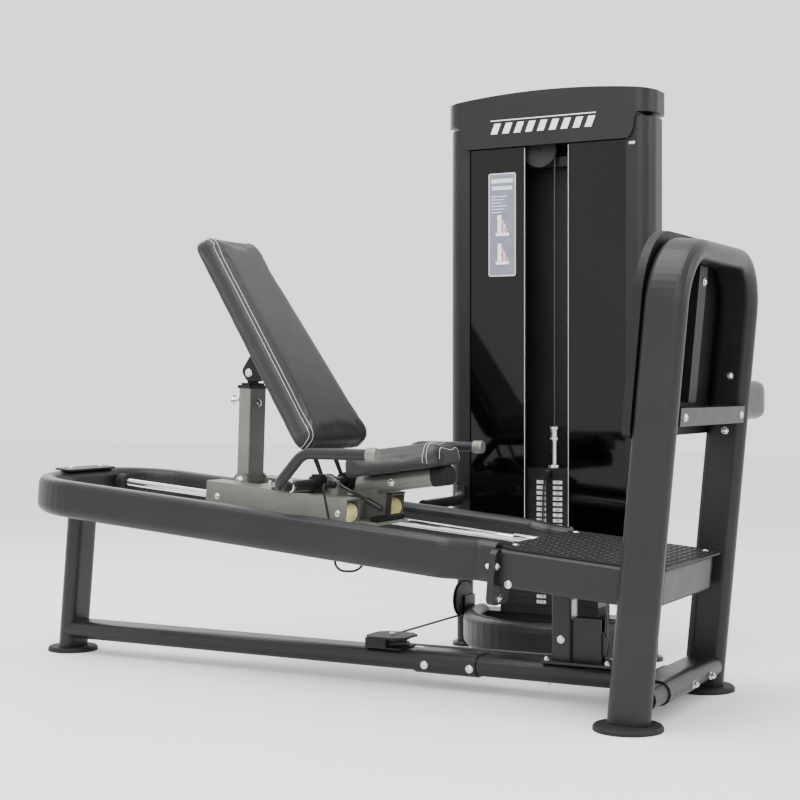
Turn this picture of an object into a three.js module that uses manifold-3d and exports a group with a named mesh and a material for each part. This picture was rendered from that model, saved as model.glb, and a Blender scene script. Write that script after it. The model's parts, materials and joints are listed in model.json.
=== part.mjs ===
// A leg press machine: a seat carriage on inclined rails, a fixed footplate and a weight tower.
// Millimetres, +Z up. +X runs towards the footplate and +Y towards the weight tower.
import * as THREE from "three";
import { mergeVertices } from "three/addons/utils/BufferGeometryUtils.js";
import Module from "manifold-3d";

const wasm = await Module();
wasm.setup();

// ---------- Driving dimensions ----------
const gap = 0.3; // left between pieces that touch

// the flat oval tube that the frame is bent from
const tubeTall = 100;
const tubeWide = 50;
const frameHalf = 270; // from the middle of the machine to a frame tube's centre line

// the inclined deck: the loop frame, the rails and the step platform share its slope
const deckSlope = 0.0885; // rise towards -X, over run
const deckAngle = Math.atan(deckSlope);
const deckHeight = 318; // deck centre plane above the floor, at x = 0

const loopEnd = -1758; // centre of the loop's far end, along the deck
const loopCorner = 175; // bend radius on the centre line
const jogFrom = -462; // where each side of the loop starts to step inwards
const jogTo = -388;
const platformHalf = 219.5; // platform side tube centre line
const flangeAt = -333.9; // joint between the loop and the platform
const flangeThick = 8;
const platformEnd = 25; // centre line of the platform's end tube
const platformTop = 36;
const platformBottom = -53;
const stepThick = 4;

// foot-end frame
const footLean = Math.atan(0.093); // leans away from the seat
const footTop = 1073; // centre line of its top, along the lean
const footCorner = 130;
const floorGap = 12.3; // legs end on the round feet
const footDiscRadius = 79;
const rearDiscRadius = 71;

// low beam along the floor
const beamHeight = 64; // centre
const sleeveFrom = -655;
const sleeveTo = -480;
const rearLegFloorX = -1793;

// rails and rollers, in deck coordinates
const railOffset = 118;
const railRadius = 10;
const railHeight = 14;
const rollerRadius = 25;
const rollerHeight = railHeight + railRadius + rollerRadius;
const rollerWidth = 54;

// carriage, in deck coordinates
const boxRear = -1226;
const boxFront = -798;
const boxWide = 73;
const boxBottom = 31;
const boxTop = 87;
const boxWall = 4;
const rollerInset = 24;
const ledgeFront = -746;
const frontBlockTop = 70;

// backrest linkage, in machine coordinates (x, z)
const backPivot = { x: -908, z: 510 };
const postPivot = { x: -1180, z: 508 };
const clevisPin = { x: -1170, z: 797 };
const postLean = Math.atan2(clevisPin.x - postPivot.x, clevisPin.z - postPivot.z);
const postLength = Math.hypot(clevisPin.x - postPivot.x, clevisPin.z - postPivot.z);

// back pad: its front face runs from the bottom edge to the top edge
const padBottom = { x: -886, z: 636 };
const padTop = { x: -1236, z: 1171 };
const padBottomHalf = 170;
const padTopHalf = 122;
const padThick = 58;

// release lever
const leverY = -102;
const leverPivot = [-850, leverY, 510];

// seat
const seatTilt = Math.atan(0.14); // rises towards the footplate
const seatTubeTall = 48;
const seatTubeWide = 60;
const seatThick = 60;

// weight tower
const towerX = -549;
const towerY = 620;
const postHalf = 285;
const postRadius = 24;
const towerHalf = 312; // half the length over the columns
const towerDeep = 65; // half the depth of the columns
const towerRound = 45; // plan radius of their outer corners
const coverBottom = 200;
const fasciaBottom = 1445;
const earBottom = 1516;
const capEnd = 1578;
const capMiddle = 1600;
const openingHalf = 66; // half the width of the slot that shows the weights
const stackHalf = 150;
const stackDeep = 92;
const stackBottom = 140;
const topPlateBottom = 497;
const topPlateTop = 528;
const guideOffset = 100;
const guideRadius = 10;
const connectorTop = 650;

// cable and pulleys
const cableRadius = 3;
const pulleyRadius = 45; // to the cable's centre line
const frontPulleyRadius = 34;
const sheaveRadius = 40;
const frontPulleyX = -186;
const lowCableZ = 103;
const deckCableZ = -20; // in deck coordinates
const topPulleyZ = 1440;
const towerPulley = new THREE.Vector3(-797, 528, lowCableZ + pulleyRadius);
const sheave = new THREE.Vector3(-748, 15, lowCableZ);

// ---------- Materials ----------
const standard = (color, roughness, metalness) =>
  new THREE.MeshStandardMaterial({ color, roughness, metalness });
const paint = standard(0x3c3d3f, 0.5, 0.2);
const darkPlate = standard(0x2a2b2c, 0.6, 0.3);
const silverPaint = standard(0x9a9b96, 0.45, 0.4);
const chrome = standard(0xdcdcdc, 0.15, 1);
const steel = standard(0x8c8c8c, 0.4, 0.9);
const rubber = standard(0x1b1b1c, 0.85, 0);
const leather = standard(0x2b2c2e, 0.6, 0);
const gloss = standard(0x070708, 0.08, 0);
const plastic = standard(0x303134, 0.5, 0);
const urethane = standard(0xe2d998, 0.5, 0);
const nylon = standard(0x17181a, 0.6, 0);

// ---------- Shapes ----------
// A flat oval: x is its width, y its height.
function oval(width, height) {
  const shape = new THREE.Shape();
  const r = Math.min(width, height) / 2;
  const dx = width / 2 - r;
  const dy = height / 2 - r;
  if (width > height) {
    shape.absarc(dx, 0, r, -Math.PI / 2, Math.PI / 2);
    shape.absarc(-dx, 0, r, Math.PI / 2, (Math.PI * 3) / 2);
  } else {
    shape.absarc(0, dy, r, 0, Math.PI);
    shape.absarc(0, -dy, r, Math.PI, Math.PI * 2);
  }
  shape.closePath();
  return shape;
}

// A polygon with a radius at each corner: corners are [x, y, radius].
function rounded(corners) {
  const shape = new THREE.Shape();
  corners.forEach(([x, y, radius], i) => {
    const here = new THREE.Vector2(x, y);
    const before = new THREE.Vector2(...corners.at(i - 1).slice(0, 2)).sub(here).normalize();
    const after = new THREE.Vector2(...corners[(i + 1) % corners.length].slice(0, 2)).sub(here).normalize();
    const half = Math.acos(THREE.MathUtils.clamp(before.dot(after), -1, 1)) / 2;
    const reach = radius > 0 ? radius / Math.tan(half) : 0;
    const start = here.clone().addScaledVector(before, reach);
    const end = here.clone().addScaledVector(after, reach);
    if (i) shape.lineTo(start.x, start.y);
    else shape.moveTo(start.x, start.y);
    if (reach > 0) {
      const middle = before.clone().add(after).normalize();
      const centre = here.clone().addScaledVector(middle, radius / Math.sin(half));
      const from = Math.atan2(start.y - centre.y, start.x - centre.x);
      const to = Math.atan2(end.y - centre.y, end.x - centre.x);
      const turn = before.x * after.y - before.y * after.x;
      shape.absarc(centre.x, centre.y, radius, from, to, turn > 0);
    }
  });
  shape.closePath();
  return shape;
}

function rectangle(width, height, radius = 0) {
  const x = width / 2;
  const y = height / 2;
  return rounded([[-x, -y, radius], [x, -y, radius], [x, y, radius], [-x, y, radius]]);
}

function circle(radius) {
  return new THREE.Shape().absarc(0, 0, radius, 0, Math.PI * 2);
}

// Extrudes a shape from `from` to `to` along Z.
function prism(shape, from, to, curveSegments = 6) {
  const geometry = new THREE.ExtrudeGeometry(shape, { depth: to - from, bevelEnabled: false, curveSegments });
  return geometry.translate(0, 0, from);
}

// Stands a prism that was drawn in (y, z) along X, or one drawn in (x, z) along Y.
const alongX = (geometry) => geometry.applyMatrix4(
  new THREE.Matrix4().set(0, 0, 1, 0, 1, 0, 0, 0, 0, 1, 0, 0, 0, 0, 0, 1));
const alongY = (geometry) => geometry.applyMatrix4(
  new THREE.Matrix4().set(1, 0, 0, 0, 0, 0, -1, 0, 0, 1, 0, 0, 0, 0, 0, 1));

// A block between two corners.
function block([x0, y0, z0], [x1, y1, z1]) {
  const geometry = new THREE.BoxGeometry(x1 - x0, y1 - y0, z1 - z0);
  return geometry.translate((x0 + x1) / 2, (y0 + y1) / 2, (z0 + z1) / 2);
}

// A cylinder from one point to another.
function rod(from, to, radius, segments = 20) {
  const a = new THREE.Vector3(...from);
  const b = new THREE.Vector3(...to);
  const geometry = new THREE.CylinderGeometry(radius, radius, a.distanceTo(b), segments);
  const turn = new THREE.Quaternion().setFromUnitVectors(
    new THREE.Vector3(0, 1, 0), b.clone().sub(a).normalize());
  const middle = a.add(b).multiplyScalar(0.5);
  return geometry.applyQuaternion(turn).translate(middle.x, middle.y, middle.z);
}

// A turned piece: the profile's [radius, height] points go round the Z axis.
function turned(profile, segments = 28) {
  const points = profile.map(([r, z]) => new THREE.Vector2(r, z));
  return new THREE.LatheGeometry(points, segments).rotateX(Math.PI / 2);
}

// A route of straight runs and round bends, sampled only where it bends.
class Route extends THREE.Curve {
  constructor(corners, bendStep) {
    super();
    this.stops = [];
    const at = (i) => new THREE.Vector3(...corners[i].slice(0, 3));
    corners.forEach((corner, i) => {
      const radius = corner[3] || 0;
      const here = at(i);
      if (!radius) {
        const along = i ? here.clone().sub(at(i - 1)) : at(1).sub(here);
        this.stops.push([here, along.normalize()]);
        return;
      }
      const back = at(i - 1).sub(here).normalize();
      const on = at(i + 1).sub(here).normalize();
      const half = back.angleTo(on) / 2;
      const centre = here.clone().addScaledVector(back.clone().add(on).normalize(), radius / Math.sin(half));
      const start = here.clone().addScaledVector(back, radius / Math.tan(half)).sub(centre);
      const axis = back.clone().negate().cross(on).normalize();
      const sweep = Math.PI - 2 * half;
      const steps = Math.max(2, Math.ceil((sweep / bendStep) * (1 - 1e-6)));
      for (let k = 0; k <= steps; k++) {
        const spoke = start.clone().applyAxisAngle(axis, (sweep * k) / steps);
        this.stops.push([centre.clone().add(spoke), axis.clone().cross(spoke).normalize()]);
      }
    });
  }
  pick(u, part) {
    return this.stops[Math.round(u * (this.stops.length - 1))][part].clone();
  }
  getPoint(u) {
    return this.pick(u, 0);
  }
  getPointAt(u) {
    return this.pick(u, 0);
  }
  getTangent(u) {
    return this.pick(u, 1);
  }
  getTangentAt(u) {
    return this.pick(u, 1);
  }
}

// A tube of the given section along a route, with one step for each `bendStep` of turn.
function tube(section, corners, bendStep = Math.PI / 12, curveSegments = 4) {
  const route = new Route(corners, bendStep);
  return new THREE.ExtrudeGeometry(section, {
    steps: route.stops.length - 1,
    extrudePath: route,
    curveSegments,
  });
}

// ---------- Joining and cutting ----------
function solid(geometry) {
  const plain = geometry.clone();
  plain.deleteAttribute("normal");
  plain.deleteAttribute("uv");
  const merged = mergeVertices(plain, 1e-4);
  const made = new wasm.Manifold(new wasm.Mesh({
    numProp: 3,
    vertProperties: merged.attributes.position.array,
    triVerts: new Uint32Array(merged.index.array),
  }));
  return made;
}

function geometryOf(made) {
  const mesh = made.getMesh();
  const geometry = new THREE.BufferGeometry();
  geometry.setAttribute("position", new THREE.BufferAttribute(mesh.vertProperties, 3));
  geometry.setIndex(new THREE.BufferAttribute(mesh.triVerts, 1));
  return geometry;
}

const join = (...pieces) => geometryOf(pieces.map(solid).reduce((sum, piece) => sum.add(piece)));
const cut = (base, ...tools) => geometryOf(tools.map(solid).reduce((rest, tool) => rest.subtract(tool), solid(base)));
const common = (a, b) => geometryOf(solid(a).intersect(solid(b)));

// ---------- Groups ----------
const machine = new THREE.Group();
const deck = new THREE.Group();
deck.position.z = deckHeight;
deck.rotation.y = deckAngle;
const footEnd = new THREE.Group();
footEnd.rotation.y = footLean;
machine.add(deck, footEnd);

function add(parent, name, geometry, material) {
  const mesh = new THREE.Mesh(geometry, material);
  mesh.name = name;
  parent.add(mesh);
  return mesh;
}

// A geometry given in machine coordinates, moved into a group's own.
function into(group, geometry) {
  group.updateMatrix();
  return geometry.applyMatrix4(group.matrix.clone().invert());
}

const farBelow = -400;
const belowFloor = (group) => into(group, block([-2200, -600, farBelow], [600, 1000, floorGap]));
const deckToMachine = (x, y, z) => {
  deck.updateMatrix();
  return new THREE.Vector3(x, y, z).applyMatrix4(deck.matrix);
};

// along a level route this section stands with its tall side upright
const standing = oval(tubeTall, tubeWide);

// ---------- Loop frame and rear leg ----------
// one of the plates that bolt the loop to the platform
function flange(side, from) {
  const plate = alongX(prism(rectangle(94, 132, 20), from, from + flangeThick, 3));
  return plate.translate(0, side * (platformHalf + 4), -31);
}
function loopFrame() {
  const y = frameHalf;
  const jog = 45;
  const end = flangeAt - gap / 2 - flangeThick;
  const side = (s) => [
    [end + 1, s * platformHalf, 0],
    [jogTo, s * platformHalf, 0, jog],
    [jogFrom, s * y, 0, jog],
    [loopEnd, s * y, 0, loopCorner],
  ];
  const route = [...side(-1), ...side(1).reverse()];
  return join(tube(standing, route, Math.PI / 24, 6), flange(-1, end), flange(1, end));
}
add(deck, "loop_frame", loopFrame(), paint);

const endPlate = prism(rectangle(52, 212, 6), tubeTall / 2 + gap, tubeTall / 2 + gap + 5, 2);
add(deck, "loop_end_plate", endPlate.translate(loopEnd, 0, 0), darkPlate);

function rearLegTube(grow) {
  const section = oval(tubeWide + 2 * grow, tubeTall + 2 * grow);
  return prism(section, -500, -tubeTall / 2 - gap).translate(loopEnd, 0, 0);
}
add(deck, "rear_leg", cut(rearLegTube(0), belowFloor(deck)), paint);

// ---------- Low beam ----------
function lowBeam(from, to) {
  return alongX(prism(oval(tubeTall, tubeWide), from, to)).translate(0, 0, beamHeight);
}
deck.updateMatrix();
const rearLegGrown = rearLegTube(gap).applyMatrix4(deck.matrix);
const legCutter = join(rearLegGrown, block([-1900, -70, 0], [-1785, 70, 130]));
add(machine, "low_beam_rear", cut(lowBeam(-1800, sleeveFrom - gap), legCutter), paint);

const crossBeamX = Math.tan(footLean) * beamHeight;
const sleeve = alongX(prism(oval(tubeTall + 8, tubeWide + 8), sleeveFrom, sleeveTo)).translate(0, 0, beamHeight);
add(machine, "low_beam_front",
  join(lowBeam(sleeveTo - 5, crossBeamX - tubeTall / 2 - 4 - gap), sleeve), paint);

// ---------- Foot-end frame ----------
function footFrame() {
  const y = frameHalf;
  const route = [[0, -y, -40], [0, -y, footTop, footCorner], [0, y, footTop, footCorner], [0, y, -40]];
  return cut(tube(oval(tubeWide, tubeTall), route, Math.PI / 28, 6), belowFloor(footEnd));
}
add(footEnd, "foot_frame", footFrame(), paint);

const innerHalf = frameHalf - tubeWide / 2 - gap;
const crossBeam = alongY(prism(oval(tubeTall, tubeWide), -innerHalf, innerHalf, 8));
const crossSleeve = alongY(prism(oval(tubeTall + 8, tubeWide + 8), -47, 156, 8));
add(machine, "foot_cross_beam",
  join(crossBeam, crossSleeve).translate(crossBeamX, 0, beamHeight), paint);

const crossBar = block([16, -innerHalf, 678], [48, innerHalf, 719]);
add(footEnd, "foot_cross_bar", crossBar, paint);

const plateBack = -tubeTall / 2 - gap;
const plateThick = 20;
function footplate() {
  const half = 290;
  const outline = rounded([[-half, 642, 24], [half, 642, 24], [half, 1112, 150], [-half, 1112, 150]]);
  const slab = alongX(prism(outline, plateBack - plateThick, plateBack, 8));
  const stiffener = block([plateBack - 1, -28, 724], [plateBack + 42, 28, 1043]);
  return join(slab, stiffener);
}
add(footEnd, "footplate", footplate(), darkPlate);

// ---------- Step platform ----------
function platformFrame() {
  const y = platformHalf;
  const corner = 50;
  const tall = platformTop - platformBottom;
  const middle = (platformTop + platformBottom) / 2;
  const start = flangeAt + gap / 2 + flangeThick;
  const route = [
    [start - 1, -y, middle], [platformEnd, -y, middle, corner],
    [platformEnd, y, middle, corner], [start - 1, y, middle],
  ];
  const ring = tube(rectangle(tall, tubeWide, 12), route, Math.PI / 12, 2);
  const plate = (s) => flange(s, start - flangeThick);
  const inner = y - 20;
  const railTube = block([start + 1, -inner, -12], [start + 51, inner, platformTop]);
  const postTube = block([-285, -inner, platformBottom], [-229, inner, -26]);
  const hanger = (at) => block([-231, at - 1.5, -68], [frontPulleyX + 14, at + 1.5, -27]);
  const pulleyZ = deckCableZ - frontPulleyRadius;
  const axle = rod([frontPulleyX, -14, pulleyZ], [frontPulleyX, 14, pulleyZ], 5.5, 12);
  return join(ring, plate(-1), plate(1), railTube, postTube, hanger(-13), hanger(13), axle);
}
add(deck, "platform_frame", platformFrame(), paint);

function stepPlate() {
  const from = flangeAt - 6.5;
  const to = platformEnd + 38;
  const outline = rounded([[from, -238, 30], [to, -238, 46], [to, 238, 46], [from, 238, 46]]);
  return prism(outline, platformTop + gap, platformTop + gap + stepThick, 4);
}
add(deck, "step_plate", stepPlate(), darkPlate);

// ---------- Support post ----------
const postX = -262;
function supportPost() {
  const beamTop = beamHeight + tubeWide / 2 + gap;
  const top = deckToMachine(postX, 0, platformBottom).z - 3;
  const base = block([-305, -48, beamTop], [-122, 48, beamTop + 6]);
  const upright = prism(rectangle(50, 50, 6), beamTop + 5, top, 2).translate(postX, 0, 0);
  const cheek = (y) => block([postX + 20, y - 1.5, beamTop + 5], [frontPulleyX + 24, y + 1.5, 200]);
  const pulleyZ = lowCableZ + frontPulleyRadius;
  const axle = rod([frontPulleyX, -14, pulleyZ], [frontPulleyX, 14, pulleyZ], 5.5, 12);
  const cableSlot = block([-330, -10, lowCableZ - 6], [-200, 10, lowCableZ + 12]);
  return join(cut(join(base, upright), cableSlot), cheek(-13), cheek(13), axle);
}
add(machine, "support_post", supportPost(), paint);

// ---------- Rails ----------
function rail() {
  const left = loopEnd + tubeWide / 2 + 8;
  const right = flangeAt + gap / 2 + flangeThick + 1 - gap;
  return rod([left, 0, railHeight], [right, 0, railHeight], railRadius, 24);
}
for (const [name, side] of [["rail_near", -1], ["rail_far", 1]])
  add(deck, name, rail(), chrome).position.y = side * railOffset;

// ---------- Feet ----------
function footDisc(radius) {
  const thick = floorGap - gap;
  return turned([[0, 0], [radius, 0], [radius, thick * 0.6], [radius - 4, thick], [0, thick]], 32);
}
for (const [name, x, y, radius] of [
  ["foot_rear", rearLegFloorX, 0, rearDiscRadius],
  ["foot_near", 0, -frameHalf, footDiscRadius],
  ["foot_far", 0, frameHalf, footDiscRadius],
]) add(machine, name, footDisc(radius), rubber).position.set(x, y, 0);

// ---------- Weight tower frame ----------
const topRun = new THREE.Vector3(towerX - towerPulley.x, towerY - towerPulley.y - pulleyRadius, 0);
const topTurn = Math.atan2(topRun.y, topRun.x);
const topDirection = topRun.clone().normalize();
const topPulleys = [
  new THREE.Vector3(towerX, towerY, topPulleyZ).addScaledVector(topDirection, -pulleyRadius),
  new THREE.Vector3(towerPulley.x, towerPulley.y + pulleyRadius, topPulleyZ)
    .addScaledVector(topDirection, pulleyRadius),
];
const leftPostX = towerX - postHalf;
const rightPostX = towerX + postHalf;
// its base bows out in front of the weights
function towerFrame() {
  const profile = [[0, 0], [38, 0], [38, 8], [34, 12], [postRadius, 12], [postRadius, 1420], [0, 1420]];
  const upright = (x) => turned(profile, 20).translate(x, towerY, 0);
  const low = block([leftPostX, towerY - 40, 62], [rightPostX, towerY + 40, 112]);
  const high = block([leftPostX, towerY + 14, 1392], [rightPostX, towerY + 44, 1420]);
  const bow = tube(standing, [
    [-764, towerY - 30, 80], [-764, 302, 80, 285], [-290, 302, 80, 180], [-290, towerY - 30, 80],
  ], Math.PI / 30, 6);
  const foot = towerPulley;
  const fork = (x) => block([x - 1.5, foot.y - 12, 90], [x + 1.5, towerY - 38, foot.z + 10]);
  const footAxle = rod([foot.x - 12, foot.y, foot.z], [foot.x + 14, foot.y, foot.z], 5.5, 12);
  const hangers = topPulleys.map(({ x, y }) => {
    const back = new THREE.Vector3(-topDirection.y, topDirection.x, 0);
    const axle = rod(
      [x - back.x * 10, y - back.y * 10, topPulleyZ],
      [x + back.x * 22, y + back.y * 22, topPulleyZ], 5.5, 12);
    const bracket = block([x - 12, towerY + 14, 1400], [x + 12, towerY + 18, topPulleyZ + 14]);
    const arm = block([x - 12, y + 12, topPulleyZ - 14], [x + 12, towerY + 18, topPulleyZ - 8]);
    const plate = block([x - 12, y + 12, topPulleyZ - 14], [x + 12, y + 16, topPulleyZ + 14]);
    return join(axle, bracket, arm, plate);
  });
  return join(upright(leftPostX), upright(rightPostX), low, high, bow,
    fork(foot.x + 12), footAxle, ...hangers);
}
add(machine, "tower_frame", towerFrame(), paint);

// ---------- Braces ----------
function upperBrace() {
  const z = 725;
  const endX = towerX + towerHalf + gap;
  const route = [[55, frameHalf + tubeWide / 2 + gap, z], [55, towerY, z, 90], [endX, towerY, z]];
  return tube(standing, route);
}
add(machine, "tower_brace", upperBrace(), paint);

function loopBrace() {
  const x = -806;
  const y0 = frameHalf + tubeWide / 2 + gap;
  const y1 = towerY - towerDeep - gap;
  const pipe = tube(circle(15), [[x, y0, 432], [x, y1 - 18, 432, 30], [x, y1 - 18, 474]], Math.PI / 10, 6);
  const lug = block([x - 20, y1 - 8, 440], [x + 20, y1, 486]);
  const stem = block([x - 10, y1 - 30, 446], [x + 10, y1 - 4, 470]);
  return join(pipe, lug, stem);
}
add(machine, "loop_brace", loopBrace(), paint);

// ---------- Tower covers ----------
const coverWall = 2.5;
const coverTop = fasciaBottom + 60;
const columnInner = towerHalf - 73; // from the tower's middle to a column's open side
function columnCover(side) {
  const outer = (inset) => {
    const r = towerRound - inset;
    const x = towerHalf - inset;
    const y = towerDeep - inset;
    return rounded([[0, -y, 0], [x, -y, r], [x, y, r], [0, y, 0]]);
  };
  const shell = prism(outer(0), coverBottom, coverTop, 5);
  const hollow = prism(outer(coverWall), coverBottom - 5, coverTop + 5, 5);
  const middle = block([-5, -200, coverBottom - 5], [columnInner, 200, coverTop + 5]);
  const backSlot = block([-5, towerDeep - coverWall - 1, 0], [columnInner + 1, 200, 10]);
  const geometry = cut(shell, hollow, middle, backSlot);
  if (side < 0) geometry.rotateZ(Math.PI);
  return geometry.translate(towerX, towerY, 0);
}
add(machine, "column_cover_left", columnCover(-1), plastic);
add(machine, "column_cover_right", columnCover(1), plastic);

const panelFront = towerY - towerDeep + 5;
for (const [name, side] of [["front_panel_left", -1], ["front_panel_right", 1]]) {
  const inner = towerX + side * openingHalf;
  const outer = towerX + side * (columnInner - gap);
  add(machine, name, block(
    [Math.min(inner, outer), panelFront, coverBottom],
    [Math.max(inner, outer), panelFront + 4, fasciaBottom + 30]), gloss);
}
add(machine, "rear_cover", block(
  [towerX - columnInner + gap, towerY + towerDeep - 6, coverBottom],
  [towerX + columnInner - gap, towerY + towerDeep - 2, fasciaBottom + 30]), plastic);

function towerCap() {
  const half = towerHalf + 6;
  const deep = towerDeep + 9;
  const shoulder = towerHalf - 40; // where the fascia drops below the ears
  const arcRise = capMiddle - capEnd;
  const arcRadius = (half * half + arcRise * arcRise) / (2 * arcRise);
  const reach = Math.asin(half / arcRadius);
  const face = new THREE.Shape();
  face.moveTo(-half, earBottom);
  face.lineTo(-shoulder, earBottom);
  face.bezierCurveTo(-shoulder + 10, earBottom - 20, -shoulder + 4, fasciaBottom + 16, -shoulder + 26, fasciaBottom);
  face.lineTo(shoulder - 26, fasciaBottom);
  face.bezierCurveTo(shoulder - 4, fasciaBottom + 16, shoulder - 10, earBottom - 20, shoulder, earBottom);
  face.lineTo(half, earBottom);
  face.absarc(0, capMiddle - arcRadius, arcRadius, Math.PI / 2 - reach, Math.PI / 2 + reach);
  face.closePath();
  const front = alongY(prism(face, -deep, deep, 8));
  const plan = prism(rectangle(2 * half, 2 * deep, towerRound + 8), fasciaBottom - 10, capMiddle + 10, 6);
  const inside = rectangle(2 * (towerHalf + gap), 2 * (towerDeep + gap), towerRound - 2);
  const hollow = prism(inside, fasciaBottom - 20, coverTop + gap, 5);
  return cut(common(front, plan), hollow).translate(towerX, towerY, 0);
}
add(machine, "tower_cap", towerCap(), plastic);

// ---------- Weights ----------
for (const [name, side] of [["guide_rod_left", -1], ["guide_rod_right", 1]]) {
  const x = towerX + side * guideOffset;
  add(machine, name, rod([x, towerY, 112 + gap], [x, towerY, 1392 - gap], guideRadius, 16), chrome);
}

function weights(bottom, top, boreRadius) {
  const slab = block([-stackHalf, -stackDeep / 2, bottom], [stackHalf, stackDeep / 2, top]);
  const bores = [-guideOffset, guideOffset].map((x) =>
    rod([x, 0, bottom - 5], [x, 0, top + 5], guideRadius + 2, 16));
  const middle = rod([0, 0, bottom - 5], [0, 0, top + 5], boreRadius, 20);
  return cut(slab, ...bores, middle).translate(towerX, towerY, 0);
}
const stemRadius = 12;
const plateCount = 23;
function weightStack() {
  const pitch = (topPlateBottom - gap - stackBottom) / plateCount;
  const grooves = [];
  for (let i = 1; i < plateCount; i++) {
    const z = stackBottom + i * pitch;
    grooves.push(block(
      [towerX - stackHalf - 1, towerY - stackDeep / 2 - 1, z - 0.6],
      [towerX + stackHalf + 1, towerY - stackDeep / 2 + 3, z + 0.6]));
  }
  return cut(weights(stackBottom, topPlateBottom - gap, stemRadius + 3), ...grooves);
}
add(machine, "weight_stack", weightStack(), steel);
add(machine, "stack_cushion", weights(112 + gap, stackBottom - gap, stemRadius + 6), rubber);

const pinZ = 512;
const pinHole = (radius) => rod([towerX, 500, pinZ], [towerX, towerY, pinZ], radius, 16);
add(machine, "top_weight_plate",
  cut(weights(topPlateBottom, topPlateTop, stemRadius + gap), pinHole(5.5)), steel);

function selectorStem() {
  const bottom = 190;
  const stem = turned([
    [0, bottom], [stemRadius, bottom + 4], [stemRadius, topPlateTop + gap], [26, topPlateTop + gap],
    [26, topPlateTop + 8], [9, topPlateTop + 10], [9, 608], [20, 608], [20, 615], [13, 617], [13, 636],
    [20, 638], [20, 645], [8, connectorTop], [0, connectorTop],
  ], 16);
  // bored so that it can rise around the cable, which stays where it is
  const bore = rod([towerX, towerY, 215], [towerX, towerY, connectorTop + 10], cableRadius + 0.7, 12);
  return cut(stem.translate(towerX, towerY, 0), bore, pinHole(5.5));
}
add(machine, "selector_stem", selectorStem(), chrome);

function selectorPin() {
  const pin = turned([[0, 0], [11, 0], [13, 4], [13, 26], [8, 30], [5, 32], [5, 72], [0, 74]], 20);
  return pin.rotateX(-Math.PI / 2).translate(towerX, towerY - stackDeep / 2 - 34, pinZ);
}
add(machine, "selector_pin", selectorPin(), steel);

// ---------- Pulleys ----------
function pulley(radius, width = 16) {
  const rim = radius + 5;
  const floor = radius - cableRadius - gap;
  const h = width / 2;
  return turned([
    [6, -h], [rim, -h], [rim, -h + 3], [floor, -cableRadius], [floor, cableRadius],
    [rim, h - 3], [rim, h], [6, h], [6, -h],
  ], 20);
}
function place(name, geometry, { x, y, z }) {
  add(machine, name, geometry, nylon).position.set(x, y, z);
}
const topPulley = () => pulley(pulleyRadius).rotateX(Math.PI / 2).rotateZ(topTurn);
place("pulley_top_centre", topPulley(), topPulleys[0]);
place("pulley_top_side", topPulley(), topPulleys[1]);
place("pulley_tower_foot", pulley(pulleyRadius).rotateY(Math.PI / 2), towerPulley);
place("pulley_beam_sheave", pulley(sheaveRadius, 14), sheave);
const postPulley = new THREE.Vector3(frontPulleyX, 0, lowCableZ + frontPulleyRadius);
const platformPulley = deckToMachine(frontPulleyX, 0, deckCableZ - frontPulleyRadius);
const frontPulley = () => pulley(frontPulleyRadius).rotateX(Math.PI / 2);
place("pulley_support_post", frontPulley(), postPulley);
place("pulley_platform", frontPulley(), platformPulley);

function beamPulleyBox() {
  const bottom = beamHeight + tubeWide / 2 + gap;
  const lidBottom = 115;
  const corner = 24;
  const lid = prism(new THREE.Shape([
    [-800 + corner, -56], [-684 - corner, -56], [-684, -56 + corner], [-684, 56 - corner],
    [-684 - corner, 56], [-800 + corner, 56], [-800, 56 - corner], [-800, -56 + corner],
  ].map(([x, y]) => new THREE.Vector2(x, y))), lidBottom, lidBottom + 5);
  const base = block([-797, -48, bottom], [-690, 48, bottom + 3]);
  const wallNear = block([-795, -48, bottom], [-735, -44, lidBottom + 1]);
  const axle = rod([sheave.x, sheave.y, bottom], [sheave.x, sheave.y, lidBottom + 1], 5.5, 12);
  return join(lid, base, wallNear, axle);
}
add(machine, "beam_pulley_box", beamPulleyBox(), darkPlate);

// ---------- Main cable ----------
// It runs from the weights over the tower's pulleys, along the low beam and back to the carriage.
function mainCable() {
  const p = pulleyRadius;
  const f = frontPulleyRadius;
  const upX = frontPulleyX + f;
  const anchor = deckToMachine(boxFront - 6, 0, deckCableZ);
  const overTop = deckToMachine(upX, 0, deckCableZ);
  const route = [
    [towerX, towerY, connectorTop + gap],
    [towerX, towerY, topPulleyZ + p, p],
    [towerPulley.x, towerPulley.y + p, topPulleyZ + p, p],
    [towerPulley.x, towerPulley.y + p, lowCableZ, p],
    [sheave.x - sheaveRadius - 1.6, sheave.y - sheaveRadius - 1.6, lowCableZ, sheaveRadius],
    [postPulley.x, 0, lowCableZ, 0.1],
    [upX, 0, lowCableZ, f - 1],
    [upX, 0, overTop.z, f - 1],
    [anchor.x, 0, anchor.z],
  ];
  return tube(circle(cableRadius), route);
}
add(machine, "main_cable", mainCable(), steel);

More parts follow.
